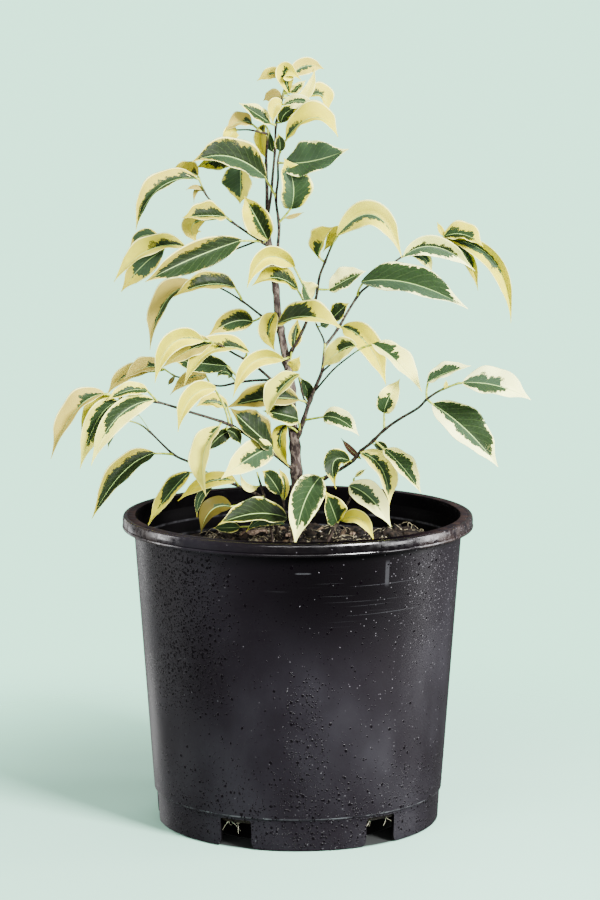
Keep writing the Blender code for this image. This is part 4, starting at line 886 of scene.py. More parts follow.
# %% [markdown]
# ## The trunk
#
# The trunk is a young stem, about 9 mm thick at the mix and 3.5 mm where the leaders start. Its bark is
# grey-brown with pale mottling and small scars. It runs on the same tube tree as the twigs, with more sides,
# deeper lumps and a bark of its own.

# %% Grow the trunk
def make_bark_paint():
    paint = Paint("bark")
    place = paint.place()
    stretched = paint.vector('MULTIPLY', place, (1.0, 1.0, 0.45))
    scars = paint.use(mottle, Place=stretched, Scale=460.0, Low=0.45, High=0.60)[0]
    patches = paint.use(mottle, Place=place, Scale=90.0)[0]
    colour = paint.blend(patches, (0.0150, 0.0100, 0.0095, 1.0), (0.0460, 0.0330, 0.0280, 1.0))
    colour = paint.blend(paint.sum('MULTIPLY', scars, 0.75), colour, (0.165, 0.130, 0.104, 1.0))
    paint.set(Base_Color=colour, Roughness=0.80, Specular_IOR_Level=0.15)
    paint.bump(scars, 0.0006, 0.8)
    return paint.material


TRUNK_SHARE = 0.88
bark_paint = make_bark_paint()
trunk_chain = Chains()
trunk_route = smooth_route([seen(*point) for point in TRUNK.route], STEM_STEPS)
branches = [smooth_route([seen(*point) for point in stems[0].route], 1)[0] for stems, leaves in LEAFY_STEMS.values()]
lay_twig(trunk_chain, trunk_route, TRUNK.foot * TRUNK_SHARE, TRUNK.tip * TRUNK_SHARE, branches, (1.0, 1.0))
trunk = grow("trunk_grown", trunk_chain.mesh("trunk"), bark_tube,
             {"Sides": 20, "Lump Size": 0.0007, "Lump Scale": 260.0}, {"Finish": bark_paint})
hand_in(trunk, "bark", "trunk")

# %% [markdown]
# ## The nursery pot
#
# The pot is injection-moulded black plastic: one profile turned about its axis, with the drain notches left
# open by the mould. Its rim is rolled outwards and down, the wall tapers, and a seam line marks where the
# foot skirt starts. Two faint rings run round the inside of the wall.
#
# One tree turns any profile. The same tree makes the surface of the mix later on. A second tree cuts the six
# notches in a ring, because they are the same opening repeated.

# %% The tree that turns a profile
def make_turning():
    tree = Tree("Turned", 'GeometryNodeTree',
                [("Profile", 'Geometry', None), ("Sides", 'Int', 96), ("Finish", 'Material', None)],
                [("Solid", 'Geometry')])
    profile = tree.add("GeometryNodeMeshToCurve", values=[(0, tree.given("Profile"))]).outputs[0]
    where = tree.add("GeometryNodeInputPosition").outputs[0]
    profile = tree.store(profile, "turned_at", where, 'FLOAT_VECTOR')
    circle = tree.add("GeometryNodeCurvePrimitiveCircle", values=[("Resolution", tree.given("Sides")), ("Radius", 1.0)])
    turn = tree.sum('DIVIDE', tree.add("GeometryNodeInputIndex").outputs[0], tree.given("Sides"))
    circle = tree.store(circle.outputs[0], "turned_by", tree.sum('MULTIPLY', turn, 2 * pi))
    swept = tree.add("GeometryNodeCurveToMesh", values=[(0, circle), (1, profile)]).outputs[0]
    swept = tree.add("GeometryNodeFlipFaces", values=[(0, swept)]).outputs[0]
    radius, unused, height = tree.split(tree.named("turned_at", 'FLOAT_VECTOR'))
    angle = tree.named("turned_by")
    place = tree.join(tree.sum('MULTIPLY', radius, tree.sum('COSINE', angle)),
                      tree.sum('MULTIPLY', radius, tree.sum('SINE', angle)), height)
    solid = tree.add("GeometryNodeSetPosition", values=[(0, swept), ("Position", place)]).outputs[0]
    solid = tree.add("GeometryNodeMergeByDistance", values=[(0, solid), ("Distance", 1e-6)]).outputs[0]
    whole = tree.add("GeometryNodeRealizeInstances", values=[(0, solid)]).outputs[0]
    tree.give("Solid", tree.add("GeometryNodeSetMaterial", values=[(0, whole), (2, tree.given("Finish"))]).outputs[0])
    return tree


def profile_mesh(name, points):
    mesh = bpy.data.meshes.new(name)
    mesh.from_pydata([(r, 0.0, z) for r, z in points], [(k, k + 1) for k in range(len(points) - 1)], [])
    return mesh


turning = make_turning()

# %% The pot's profile
RIM_RADIUS = 0.105
POT_HEIGHT = 0.185
WALL = 0.0018
WALL_TOP = 0.0981
SEAM_RADIUS = 0.0868
SEAM_HEIGHT = 0.019
SKIRT_TOP = 0.0858
FOOT_RADIUS = 0.0848
RIM_DEPTH = 0.008
SHELF = 0.0145
FLOOR = 0.0025
DISH_RADIUS = 0.0625
RING_HEIGHTS = (0.161, 0.169)


def arc(centre_r, centre_z, radius, start, end, steps):
    """Points of an arc, with its angles in degrees."""
    angles = [radians(start + (end - start) * k / steps) for k in range(steps + 1)]
    return [(centre_r + radius * cos(a), centre_z + radius * sin(a)) for a in angles]


def wall_radius(height):
    """The outer radius of the tapered wall."""
    return SEAM_RADIUS + (WALL_TOP - SEAM_RADIUS) * (height - SEAM_HEIGHT) / (POT_HEIGHT - RIM_DEPTH - SEAM_HEIGHT)


def pot_profile():
    under = POT_HEIGHT - RIM_DEPTH
    points = [(0.0, 0.0), (DISH_RADIUS + WALL - 0.001, 0.0)]
    points += arc(DISH_RADIUS + WALL - 0.001, 0.001, 0.001, -80, 0, 3)
    points += [(DISH_RADIUS + WALL + 0.0015, SHELF - WALL), (FOOT_RADIUS - WALL, SHELF - WALL),
               (FOOT_RADIUS - WALL, 0.0004), (FOOT_RADIUS - WALL + 0.0004, 0.0)]
    points += arc(FOOT_RADIUS - 0.0006, 0.0006, 0.0006, -90, 0, 3)
    points += [(FOOT_RADIUS + (SKIRT_TOP - FOOT_RADIUS) * k / 4, 0.001 + (SEAM_HEIGHT - 0.0022) * k / 4)
               for k in range(1, 5)]
    points += [(SKIRT_TOP + 0.0002, SEAM_HEIGHT - 0.0006)]
    points += arc(SEAM_RADIUS - 0.0005, SEAM_HEIGHT + 0.0002, 0.0005, -60, 0, 3)
    points += [(wall_radius(z), z) for z in np.linspace(SEAM_HEIGHT + 0.004, under - 0.003, 12)]
    points += [(WALL_TOP, under - 0.001), (WALL_TOP + 0.0003, under), (WALL_TOP + 0.0008, under + 0.0003)]
    points += [(RIM_RADIUS - 0.0020, under + 0.0002)]
    points += arc(RIM_RADIUS - 0.0012, under + 0.0012, 0.0012, -90, 40, 6)
    points += [(RIM_RADIUS - 0.0009, under + 0.00225)]
    points += arc(RIM_RADIUS - 0.0122, POT_HEIGHT - 0.0036, 0.0120, -9, 10, 6)
    points += arc(RIM_RADIUS - 0.0018, POT_HEIGHT - 0.0014, 0.0013, 10, 90, 6)
    points += [(RIM_RADIUS - 0.0034, POT_HEIGHT - 0.0005), (RIM_RADIUS - 0.0041, POT_HEIGHT - 0.0001),
               (WALL_TOP + 0.0006, POT_HEIGHT)]
    points += arc(WALL_TOP - WALL + 0.0016, POT_HEIGHT - 0.0016, 0.0016, 90, 180, 5)
    for z in np.linspace(POT_HEIGHT - 0.003, SEAM_HEIGHT + 0.002, 40):
        ring = max(2 ** -(((z - height) / 0.0006) ** 2) for height in RING_HEIGHTS)
        points.append((wall_radius(min(z, under)) - WALL - 0.0004 * ring, z))
    points += [(SKIRT_TOP - WALL, SHELF), (DISH_RADIUS + 0.0015, SHELF), (DISH_RADIUS, FLOOR), (0.0, FLOOR)]
    return points


print("points on the pot's profile:", len(pot_profile()))

# %% [markdown]
# ## The pot's black plastic
#
# The plastic is near black with a slightly purple sheen. It was watered and left to dry, so small dark drops
# stand on it, thick at the upper left and near the foot, over a faint cloudy film. White dust specks lie on
# the right shoulder, mixed with painted glints. The rim is shiny in front and dusty at its sides. The inside
# is painted blacker than the outside, and a zone of the wall under the middle of the rim is painted darker:
# both are painted shade. The seam's ledge gets a thin painted highlight. The marks are worked out from the
# place on the pot, unrolled: how far round it is from the middle of the front, and how high. Rounded cells
# make the drops, and each zone of the wall keeps its own share.

# %% Marks on the unrolled wall as a shader group of masks
MARK_RADIUS = 0.095
STREAK = (0.0530, 0.0016, 0.1640, 0.0085)
MOULD_MARK = (0.0030, 0.0050, 0.1665, 0.0005)


def make_wall_marks():
    tree = Tree("Wall marks", 'ShaderNodeTree', [("Place", 'Vector', None)],
                [("Inside", 'Float'), ("Rim", 'Float'), ("Drops", 'Float'), ("Specks", 'Float'), ("Haze", 'Float'),
                 ("Shade", 'Float'), ("Lines", 'Float'), ("Rings", 'Float'), ("Rim Face", 'Float')])
    x, y, z = tree.split(tree.given("Place"))
    out = tree.vector('LENGTH', tree.join(x, y, 0.0))
    slope = (WALL_TOP - SEAM_RADIUS) / (POT_HEIGHT - RIM_DEPTH - SEAM_HEIGHT)
    wall = tree.sum('MULTIPLY_ADD', z, slope, SEAM_RADIUS - slope * SEAM_HEIGHT)
    # the inside of the wall, which the finish paints near black as painted shade
    inside_wall = tree.ramp(tree.sum('SUBTRACT', out, wall), -0.0016, -0.0011, 1.0, 0.0)
    tree.give("Inside", inside_wall)
    tree.give("Rim", tree.ramp(z, POT_HEIGHT - RIM_DEPTH - 0.0004, POT_HEIGHT - RIM_DEPTH + 0.0004))
    tree.give("Rim Face", tree.ramp(out, RIM_RADIUS - 0.0034, RIM_RADIUS - 0.0022))
    angle = tree.sum('ARCTAN2', x, tree.sum('MULTIPLY', y, -1.0))
    round_it = tree.sum('MULTIPLY', angle, MARK_RADIUS)
    flat = tree.join(round_it, z, 0.0)

    def cells(scale, shift):
        moved = tree.vector('ADD', flat, (shift, shift, 0.0))
        found = tree.add("ShaderNodeTexVoronoi", {"feature": 'F1', "voronoi_dimensions": '2D'},
                         [(0, moved), ("Scale", scale)])
        first, second, unused = tree.split(found.outputs["Color"])
        return found.outputs["Distance"], first, second

    def spot(middle, half, value):
        return tree.ramp(tree.sum('ABSOLUTE', tree.sum('SUBTRACT', value, middle)), half * 0.6, half, 1.0, 0.0)

    rings = tree.sum('MAXIMUM', *(spot(height, 0.0008, z) for height in RING_HEIGHTS))
    tree.give("Rings", tree.sum('MULTIPLY', rings, inside_wall))
    # drops stand thick at the upper left and along the foot, and a few everywhere
    left = tree.sum('MULTIPLY', tree.ramp(round_it, -0.015, -0.075), tree.ramp(z, 0.050, 0.110))
    low = tree.ramp(z, 0.090, 0.010)
    trail = tree.sum('MULTIPLY', spot(0.006, 0.016, round_it), tree.ramp(z, 0.13, 0.09))
    wet = tree.sum('MAXIMUM', tree.sum('MULTIPLY', left, 1.1), tree.sum('MULTIPLY', low, 0.62))
    wet = tree.sum('MAXIMUM', wet, tree.sum('MULTIPLY', trail, 0.6))
    wet = tree.sum('MAXIMUM', wet, 0.20)
    drops = 0.0
    for scale, shift, size in ((300.0, 0.0, 0.34), (520.0, 3.1, 0.40), (900.0, 5.3, 0.42)):
        distance, draw, share = cells(scale, shift)
        kept = tree.sum('GREATER_THAN', tree.sum('MULTIPLY', wet, wet), share)
        radius = tree.sum('MULTIPLY', tree.sum('MULTIPLY_ADD', draw, size * 0.8, size * 0.2), kept)
        inside = tree.ramp(tree.sum('SUBTRACT', radius, distance), 0.0, 0.07)
        drops = tree.sum('MAXIMUM', drops, inside)
    tree.give("Drops", drops)
    # dust specks mixed with painted glints on the right shoulder, and a few lower down
    distance, draw, share = cells(760.0, 7.7)
    dust_and_glint_zone = tree.sum('MULTIPLY', tree.ramp(z, 0.085, 0.160), tree.ramp(round_it, 0.030, 0.095))
    dust_and_glint_zone = tree.sum('MULTIPLY_ADD', dust_and_glint_zone, 0.15, tree.sum('MULTIPLY_ADD', tree.ramp(round_it, -0.04, 0.06), 0.010, 0.004))
    speck = tree.sum('MULTIPLY', tree.sum('LESS_THAN', share, dust_and_glint_zone), tree.ramp(distance, 0.32, 0.10))
    tree.give("Specks", tree.sum('MULTIPLY', speck, tree.sum('MULTIPLY_ADD', draw, 0.8, 0.2)))
    # a cloudy film, and a painted shade: the zone under the middle of the rim is painted darker, with less gloss and no
    # film
    cloud = tree.ramp(tree.noise(tree.vector('MULTIPLY', flat, (1.0, 0.7, 1.0)), 20.0, 5.0), 0.28, 0.80)
    shade = tree.sum('MULTIPLY', tree.ramp(tree.sum('ABSOLUTE', tree.sum('SUBTRACT', round_it, 0.025)), 0.095, 0.012),
                     tree.ramp(z, 0.088, 0.160))
    tree.give("Shade", shade)
    tree.give("Haze", tree.sum('MULTIPLY', cloud, tree.sum('SUBTRACT', 1.0, shade)))
    # fine scratches round the wall, the streak under the rim and the small raised mark of the mould
    thin = tree.ramp(tree.noise(tree.join(tree.sum('MULTIPLY', round_it, 12.0), tree.sum('MULTIPLY', z, 1300.0), 0.0),
                                1.0, 2.0), 0.66, 0.74)
    thin = tree.sum('MULTIPLY', thin, tree.sum('MULTIPLY', spot(0.150, 0.020, z), 0.35))
    streak = tree.sum('MULTIPLY', spot(*STREAK[:2], round_it), spot(*STREAK[2:], z))
    mark = tree.sum('MULTIPLY', spot(*MOULD_MARK[:2], round_it), spot(*MOULD_MARK[2:], z))
    # a painted highlight: the seam's ledge above the skirt is painted as a thin pale line, broken here and there
    broken = tree.ramp(tree.noise(tree.vector('MULTIPLY', flat, (1.0, 0.0, 0.0)), 60.0, 3.0), 0.42, 0.62, 0.05, 0.8)
    seam = tree.sum('MULTIPLY', spot(SEAM_HEIGHT + 0.0003, 0.0005, z), broken)
    lines = tree.sum('MAXIMUM', tree.sum('MAXIMUM', thin, seam), tree.sum('MULTIPLY', streak, 0.35))
    tree.give("Lines", tree.sum('MAXIMUM', lines, tree.sum('MULTIPLY', mark, 0.45)))
    return tree


# %% The pot's finish
WET_BLACK = (0.0014, 0.0009, 0.0014, 1.0)
SHADE_BLACK = (0.0010, 0.0008, 0.0010, 1.0)
PLASTIC = (0.0038, 0.0025, 0.0041, 1.0)
FILM = (0.0104, 0.0090, 0.0124, 1.0)
DUST_AND_GLINT = (0.115, 0.105, 0.118, 1.0)
RIM_DUST = (0.024, 0.0135, 0.0105, 1.0)
SCRATCH_AND_HIGHLIGHT = (0.050, 0.050, 0.055, 1.0)


def make_pot_paint():
    paint = Paint("pot")
    place = paint.place()
    x, y, z = paint.split(place)
    marks = paint.use(wall_marks, Place=place)
    outside = paint.sum('SUBTRACT', 1.0, marks["Inside"])
    wall = paint.sum('MULTIPLY', outside, paint.sum('SUBTRACT', 1.0, marks["Rim"]))
    drops = paint.sum('MULTIPLY', marks["Drops"], wall)
    specks = paint.sum('MULTIPLY', marks["Specks"], outside)
    lines = paint.sum('MULTIPLY', marks["Lines"], wall)
    colour = paint.blend(marks["Haze"], PLASTIC, FILM)
    # painted shade: the zone under the middle of the rim is painted near black
    colour = paint.blend(paint.sum('MULTIPLY', marks["Shade"], 0.9), colour, SHADE_BLACK)
    # scratches, the streak, the mould's mark and the painted highlight on the seam
    colour = paint.blend(lines, colour, SCRATCH_AND_HIGHLIGHT)
    colour = paint.blend(paint.sum('MULTIPLY', drops, 0.9), colour, WET_BLACK)
    # the rim is dusty at its sides and back, and so is the foot, here and there
    film = paint.use(mottle, Place=place, Scale=130.0, Low=0.30, High=0.70)[0]
    aside = paint.sum('MAXIMUM', paint.ramp(paint.sum('ABSOLUTE', x), 0.060, 0.095), paint.ramp(y, 0.0, 0.06))
    rim_dust = paint.sum('MULTIPLY', paint.sum('MULTIPLY', marks["Rim"], film), paint.sum('MULTIPLY_ADD', aside, 0.75, 0.03))
    colour = paint.blend(rim_dust, colour, RIM_DUST)
    # white dust specks, mixed with painted glints
    colour = paint.blend(paint.sum('MULTIPLY', specks, 0.9), colour, DUST_AND_GLINT)
    # painted shade: the inside of the wall is painted near black
    colour = paint.blend(marks["Inside"], colour, SHADE_BLACK)
    colour = paint.blend(paint.sum('MULTIPLY', marks["Rings"], paint.sum('MULTIPLY', film, 0.7)), colour, SCRATCH_AND_HIGHLIGHT)
    rough = paint.ramp(marks["Haze"], 0.0, 1.0, 0.34, 0.46)
    dull = paint.sum('SUBTRACT', 1.0, marks["Rim Face"])
    scuffs = paint.use(mottle, Place=place, Scale=260.0, Low=0.42, High=0.56)[0]
    rim_rough = paint.sum('MULTIPLY_ADD', scuffs, 0.14, paint.sum('MULTIPLY_ADD', dull, 0.35, 0.10))
    rough = paint.blend(marks["Rim"], paint.join(rough, rough, rough), paint.join(rim_rough, rim_rough, rim_rough))
    rough = paint.sum('SUBTRACT', paint.split(rough)[0], paint.sum('MULTIPLY', drops, 0.16))
    rough = paint.sum('ADD', rough, paint.sum('MULTIPLY', paint.sum('MAXIMUM', rim_dust, specks), 0.3))
    gloss = paint.sum('MULTIPLY_ADD', marks["Shade"], -0.24, 0.30)
    gloss = paint.sum('MULTIPLY_ADD', marks["Rim"], paint.sum('MULTIPLY_ADD', dull, -0.50, 0.32), gloss)
    gloss = paint.sum('MULTIPLY_ADD', drops, -0.14, gloss)
    gloss = paint.sum('MULTIPLY', gloss, paint.sum('MULTIPLY_ADD', marks["Inside"], -0.86, 1.0))
    paint.set(Base_Color=colour, Roughness=rough, Specular_IOR_Level=gloss)
    grain = paint.sum('MULTIPLY_ADD', drops, 1.2, paint.sum('MULTIPLY', paint.noise(place, 1400.0, 2.0), 0.25))
    paint.bump(grain, 0.00025, 0.5)
    return paint.material


# %% Cut the six notches
NOTCHES = 6
NOTCH_WIDTH = 0.020
NOTCH_TURN = radians(4.2)
NOTCH_TOP = 0.0172
NOTCH_REACH = 0.008
NOTCH_CORNER = 0.0016


def make_potting():
    """The turned profile with a ring of notches cut out of it."""
    tree = Tree("Nursery pot", 'GeometryNodeTree',
                [("Profile", 'Geometry', None), ("Sides", 'Int', 96), ("Notches", 'Int', NOTCHES),
                 ("Notch Turn", 'Float', 0.0), ("Cutter", 'Object', None), ("Finish", 'Material', None)],
                [("Pot", 'Geometry')])
    turned = tree.add("GeometryNodeGroup", {"node_tree": turning.group},
                      [("Profile", tree.given("Profile")), ("Sides", tree.given("Sides")),
                       ("Finish", tree.given("Finish"))]).outputs[0]
    ring = tree.add("GeometryNodeMeshCircle", values=[("Vertices", tree.given("Notches")), ("Radius", 0.001)]).outputs[0]
    step = tree.sum('DIVIDE', tree.add("GeometryNodeInputIndex").outputs[0], tree.given("Notches"))
    angle = tree.sum('MULTIPLY_ADD', step, 2 * pi, tree.given("Notch Turn"))
    aim = tree.add("FunctionNodeAxisAngleToRotation", values=[(0, (0.0, 0.0, 1.0)), (1, angle)]).outputs[0]
    cutter = tree.add("GeometryNodeObjectInfo", values=[(0, tree.given("Cutter"))]).outputs["Geometry"]
    centred = tree.add("GeometryNodeSetPosition", values=[(0, ring), ("Position", (0.0, 0.0, 0.0))]).outputs[0]
    cutters = tree.add("GeometryNodeInstanceOnPoints",
                       values=[("Points", centred), ("Instance", cutter), ("Rotation", aim)]).outputs[0]
    cutters = tree.add("GeometryNodeRealizeInstances", values=[(0, cutters)]).outputs[0]
    cut = tree.add("GeometryNodeMeshBoolean", {"operation": 'DIFFERENCE', "solver": 'MANIFOLD'},
                   [(0, turned), (1, cutters)]).outputs[0]
    whole = tree.add("GeometryNodeRealizeInstances", values=[(0, cut)]).outputs[0]
    tree.give("Pot", tree.add("GeometryNodeSetMaterial", values=[(0, whole), (2, tree.given("Finish"))]).outputs[0])
    return tree


def notch_cutter():
    """The space of one notch on the +X side, with rounded upper corners and flared lower ones."""
    half = NOTCH_WIDTH / 2
    right = [(half + 0.0018, -0.004), (half + 0.0018, 0.0)]
    right += [(half + 0.0018 - a, b) for a, b in ((0.0008, 0.0012), (0.0014, 0.0024), (0.0018, 0.0040))]
    right += arc(half - NOTCH_CORNER, NOTCH_TOP - NOTCH_CORNER, NOTCH_CORNER, 0, 90, 4)
    outline = right + [(-a, b) for a, b in reversed(right)]
    count = len(outline)
    points = [(r, a, b) for r in (FOOT_RADIUS - NOTCH_REACH, RIM_RADIUS) for a, b in outline]
    faces = [tuple(range(count))[::-1], tuple(range(count, 2 * count))]
    faces += [(k, (k + 1) % count, (k + 1) % count + count, k + count) for k in range(count)]
    mesh = bpy.data.meshes.new("notch")
    mesh.from_pydata(points, [], faces)
    thing = bpy.data.objects.new("notch", mesh)
    bpy.context.scene.collection.objects.link(thing)
    return thing


POT_SIDES = 144
SHARP = radians(32)
wall_marks = make_wall_marks()
pot_paint = make_pot_paint()
print("marks on the wall:", len(wall_marks.group.nodes), "nodes; pot finish:", len(pot_paint.node_tree.nodes))
cutter = notch_cutter()
pot = grow("pot_finished", profile_mesh("pot_profile", pot_profile()), make_potting(),
           {"Sides": POT_SIDES, "Notches": NOTCHES, "Notch Turn": NOTCH_TURN + pi / NOTCHES - pi / 2,
            "Cutter": cutter}, {"Finish": pot_paint})
bpy.data.objects.remove(cutter)
pot.data.shade_smooth()
pot.data.set_sharp_from_angle(angle=SHARP)
hand_in(pot, "pot", "pot")

# %% [markdown]
# ## The potting mix
#
# The mix is composted bark and peat with perlite: dark crumbs, white grains, a few chips and loose fibres.
# Its top is a low mound with the stems standing in it. The mound is a turned profile with lumps, and on it
# lie scattered pieces. Each kind of piece is one small shape, scattered, turned and sized by a seeded rule,
# because that is how the bits of a mix come to lie.

# %% The mound
MIX_EDGE = 0.1575
MIX_MOUND = 0.009
MIX_LUMP = 0.0012
MIX_RADIUS = wall_radius(MIX_EDGE) - WALL - 0.0006
HEAP_PLACE = (0.066, 0.036)
HEAP_REACH = (0.030, 0.024)
HEAP_RISE = 0.0095


def heap_height(x, y):
    """The small heap of crumbs at the back on the right."""
    off = min(1.0, sum(((a - b) / c) ** 2 for a, b, c in zip((x, y), HEAP_PLACE, HEAP_REACH)) ** 0.5)
    return HEAP_RISE * (1 - off) ** 2 * (1 + 2 * off)


def mix_height(x, y):
    """The top of the mix: the rule that its solid follows, and the heap."""
    out = (x * x + y * y) ** 0.5 / WALL_TOP
    lumps = sin(170 * x + 1.3) * cos(150 * y) + 0.6 * sin(310 * x - 240 * y + 0.5) + 0.4 * cos(420 * y + 260 * x)
    return MIX_EDGE + MIX_MOUND * (1 - out ** 2) + MIX_LUMP * lumps * (1 - out ** 4) + heap_height(x, y)


def make_mix_paint():
    paint = Paint("potting_mix")
    place = paint.place()
    bits = paint.use(mottle, Place=place, Scale=700.0, Low=0.35, High=0.7)[0]
    damp = paint.use(mottle, Place=place, Scale=70.0)[0]
    colour = paint.blend(bits, (0.0024, 0.0015, 0.0011, 1.0), (0.0170, 0.0110, 0.0075, 1.0))
    colour = paint.blend(paint.sum('MULTIPLY', damp, 0.25), colour, (0.030, 0.020, 0.014, 1.0))
    paint.set(Base_Color=colour, Roughness=paint.ramp(damp, 0.0, 1.0, 0.62, 0.95), Specular_IOR_Level=0.2)
    paint.bump(bits, 0.0008, 0.9)
    return paint.material


def make_loam():
    """A turned mound that is lifted by its rule and roughened."""
    tree = Tree("Mound", 'GeometryNodeTree',
                [("Profile", 'Geometry', None), ("Sides", 'Int', 160), ("Rough Size", 'Float', 0.002),
                 ("Finish", 'Material', None)],
                [("Mound", 'Geometry')])
    mound = tree.add("GeometryNodeGroup", {"node_tree": turning.group},
                     [("Profile", tree.given("Profile")), ("Sides", tree.given("Sides")),
                      ("Finish", tree.given("Finish"))]).outputs[0]
    place = tree.add("GeometryNodeInputPosition").outputs[0]
    x, y, z = tree.split(place)
    out = tree.sum('DIVIDE', tree.vector('LENGTH', tree.join(x, y, 0.0)), WALL_TOP)
    top = tree.sum('MULTIPLY', tree.sum('GREATER_THAN', z, MIX_EDGE - 0.0005), tree.ramp(out, 0.955, 0.90))

    def wave(fx, fy, shift, size):
        angle = tree.sum('MULTIPLY_ADD', x, fx, tree.sum('MULTIPLY_ADD', y, fy, shift))
        return tree.sum('MULTIPLY', tree.sum('SINE', angle), size)

    # the product of the two first waves is written as a sum of two
    lumps = tree.sum('ADD', tree.sum('ADD', wave(170, 150, 1.3, 0.5), wave(170, -150, 1.3, 0.5)),
                     tree.sum('ADD', wave(310, -240, 0.5, 0.6), wave(260, 420, pi / 2, 0.4)))
    fade = tree.sum('SUBTRACT', 1.0, tree.sum('POWER', out, 4.0))
    rise = tree.sum('MULTIPLY', tree.sum('SUBTRACT', 1.0, tree.sum('POWER', out, 2.0)), MIX_MOUND)
    rise = tree.sum('ADD', rise, tree.sum('MULTIPLY', tree.sum('MULTIPLY', lumps, fade), MIX_LUMP))
    from_heap = tree.vector('DIVIDE', tree.vector('SUBTRACT', tree.join(x, y, 0.0), (*HEAP_PLACE, 0.0)), (*HEAP_REACH, 1.0))
    rise = tree.sum('MULTIPLY_ADD', tree.ramp(tree.vector('LENGTH', from_heap), 1.0, 0.0), HEAP_RISE, rise)
    rough = tree.sum('SUBTRACT', tree.noise(place, 240.0, 6.0), 0.55)
    rise = tree.sum('MULTIPLY_ADD', rough, tree.given("Rough Size"), rise)
    moved = tree.join(0.0, 0.0, tree.sum('MULTIPLY', rise, top))
    mound = tree.add("GeometryNodeSetPosition", values=[(0, mound), ("Offset", moved)]).outputs[0]
    mound = tree.add("GeometryNodeSetShadeSmooth", values=[(0, mound), (2, True)]).outputs[0]
    whole = tree.add("GeometryNodeRealizeInstances", values=[(0, mound)]).outputs[0]
    tree.give("Mound", tree.add("GeometryNodeSetMaterial", values=[(0, whole), (2, tree.given("Finish"))]).outputs[0])
    return tree


mix_paint = make_mix_paint()
mix_outline = [(0.0, FLOOR + 0.0003), (DISH_RADIUS - 0.0003, FLOOR + 0.0003), (DISH_RADIUS + 0.001, SHELF + 0.0003),
               (SKIRT_TOP - WALL - 0.0006, SHELF + 0.0003), (SEAM_RADIUS - WALL - 0.0006, SEAM_HEIGHT)]
mix_outline += [(MIX_RADIUS * (1 - k / 60), MIX_EDGE) for k in range(61)]
mix = grow("mix_mound", profile_mesh("mix_profile", mix_outline), make_loam(), {"Sides": 160, "Rough Size": 0.0034},
           {"Finish": mix_paint})
hand_in(mix, "potting_mix", "potting_mix")


# %% A tree that scatters bits on the mound
def make_scatter():
    tree = Tree("Scattered bits", 'GeometryNodeTree',
                [("Ground", 'Geometry', None), ("Count", 'Float', 1000.0), ("Seed", 'Int', 1),
                 ("Smallest", 'Float', 0.001), ("Largest", 'Float', 0.003), ("Flatness", 'Vector', (1.0, 1.0, 0.8)),
                 ("Ruggedness", 'Float', 0.5), ("Detail", 'Int', 1), ("Sink", 'Float', 0.3),
                 ("Finish", 'Material', None)],
                [("Bits", 'Geometry')])
    ground = tree.given("Ground")
    points = tree.add("GeometryNodeDistributePointsOnFaces",
                      values=[("Mesh", ground), ("Density", tree.given("Count")), ("Seed", tree.given("Seed"))])
    stone = tree.add("GeometryNodeMeshIcoSphere", values=[("Radius", 0.5), ("Subdivisions", tree.given("Detail"))])
    random = {"data_type": 'FLOAT_VECTOR'}
    spin = tree.add("FunctionNodeRandomValue", random,
                    [(0, (0.0, 0.0, 0.0)), (1, (6.28, 6.28, 6.28)), ("Seed", tree.given("Seed"))]).outputs[0]
    tip = tree.vector('MULTIPLY', spin, (0.12, 0.12, 1.0))
    draw = tree.add("FunctionNodeRandomValue", {"data_type": 'FLOAT'},
                    [(2, 0.0), (3, 1.0), ("Seed", tree.sum('ADD', tree.given("Seed"), 7.0))]).outputs[1]
    size = tree.sum('POWER', draw, 2.2)
    spread = tree.sum('SUBTRACT', tree.given("Largest"), tree.given("Smallest"))
    size = tree.sum('MULTIPLY_ADD', size, spread, tree.given("Smallest"))
    turned = tree.add("FunctionNodeEulerToRotation", values=[(0, tip)]).outputs[0]
    scale = tree.vector('SCALE', tree.given("Flatness"), size)
    bits = tree.add("GeometryNodeInstanceOnPoints",
                    values=[("Points", points.outputs[0]), ("Instance", stone.outputs[0]), ("Rotation", turned),
                            ("Scale", scale)]).outputs[0]
    lower = tree.vector('SCALE', tree.join(0.0, 0.0, -1.0), tree.sum('MULTIPLY', size, tree.given("Sink")))
    bits = tree.add("GeometryNodeTranslateInstances",
                    values=[(0, bits), ("Translation", lower), ("Local Space", False)]).outputs[0]
    bits = tree.add("GeometryNodeRealizeInstances", values=[(0, bits)]).outputs[0]
    place = tree.add("GeometryNodeInputPosition").outputs[0]
    push = tree.add("ShaderNodeTexNoise", values=[(0, place), ("Scale", 420.0), ("Detail", 2.0)]).outputs[1]
    push = tree.vector('SUBTRACT', push, (0.5, 0.5, 0.5))
    push = tree.vector('SCALE', push, tree.sum('MULTIPLY', tree.given("Ruggedness"), tree.given("Largest")))
    bits = tree.add("GeometryNodeSetPosition", values=[(0, bits), ("Offset", push)]).outputs[0]
    tree.give("Bits", tree.add("GeometryNodeSetMaterial", values=[(0, bits), (2, tree.given("Finish"))]).outputs[0])
    return tree


def bit_paint(name, dark, light, rough, scale, low=0.38, high=0.62):
    paint = Paint(name)
    place = paint.place()
    patches = paint.use(mottle, Place=place, Scale=scale, Low=low, High=high)[0]
    paint.set(Base_Color=paint.blend(patches, (*dark, 1.0), (*light, 1.0)), Roughness=rough, Specular_IOR_Level=0.2)
    paint.bump(paint.use(mottle, Place=place, Scale=1500.0)[0], 0.0002, 0.6)
    return paint.material


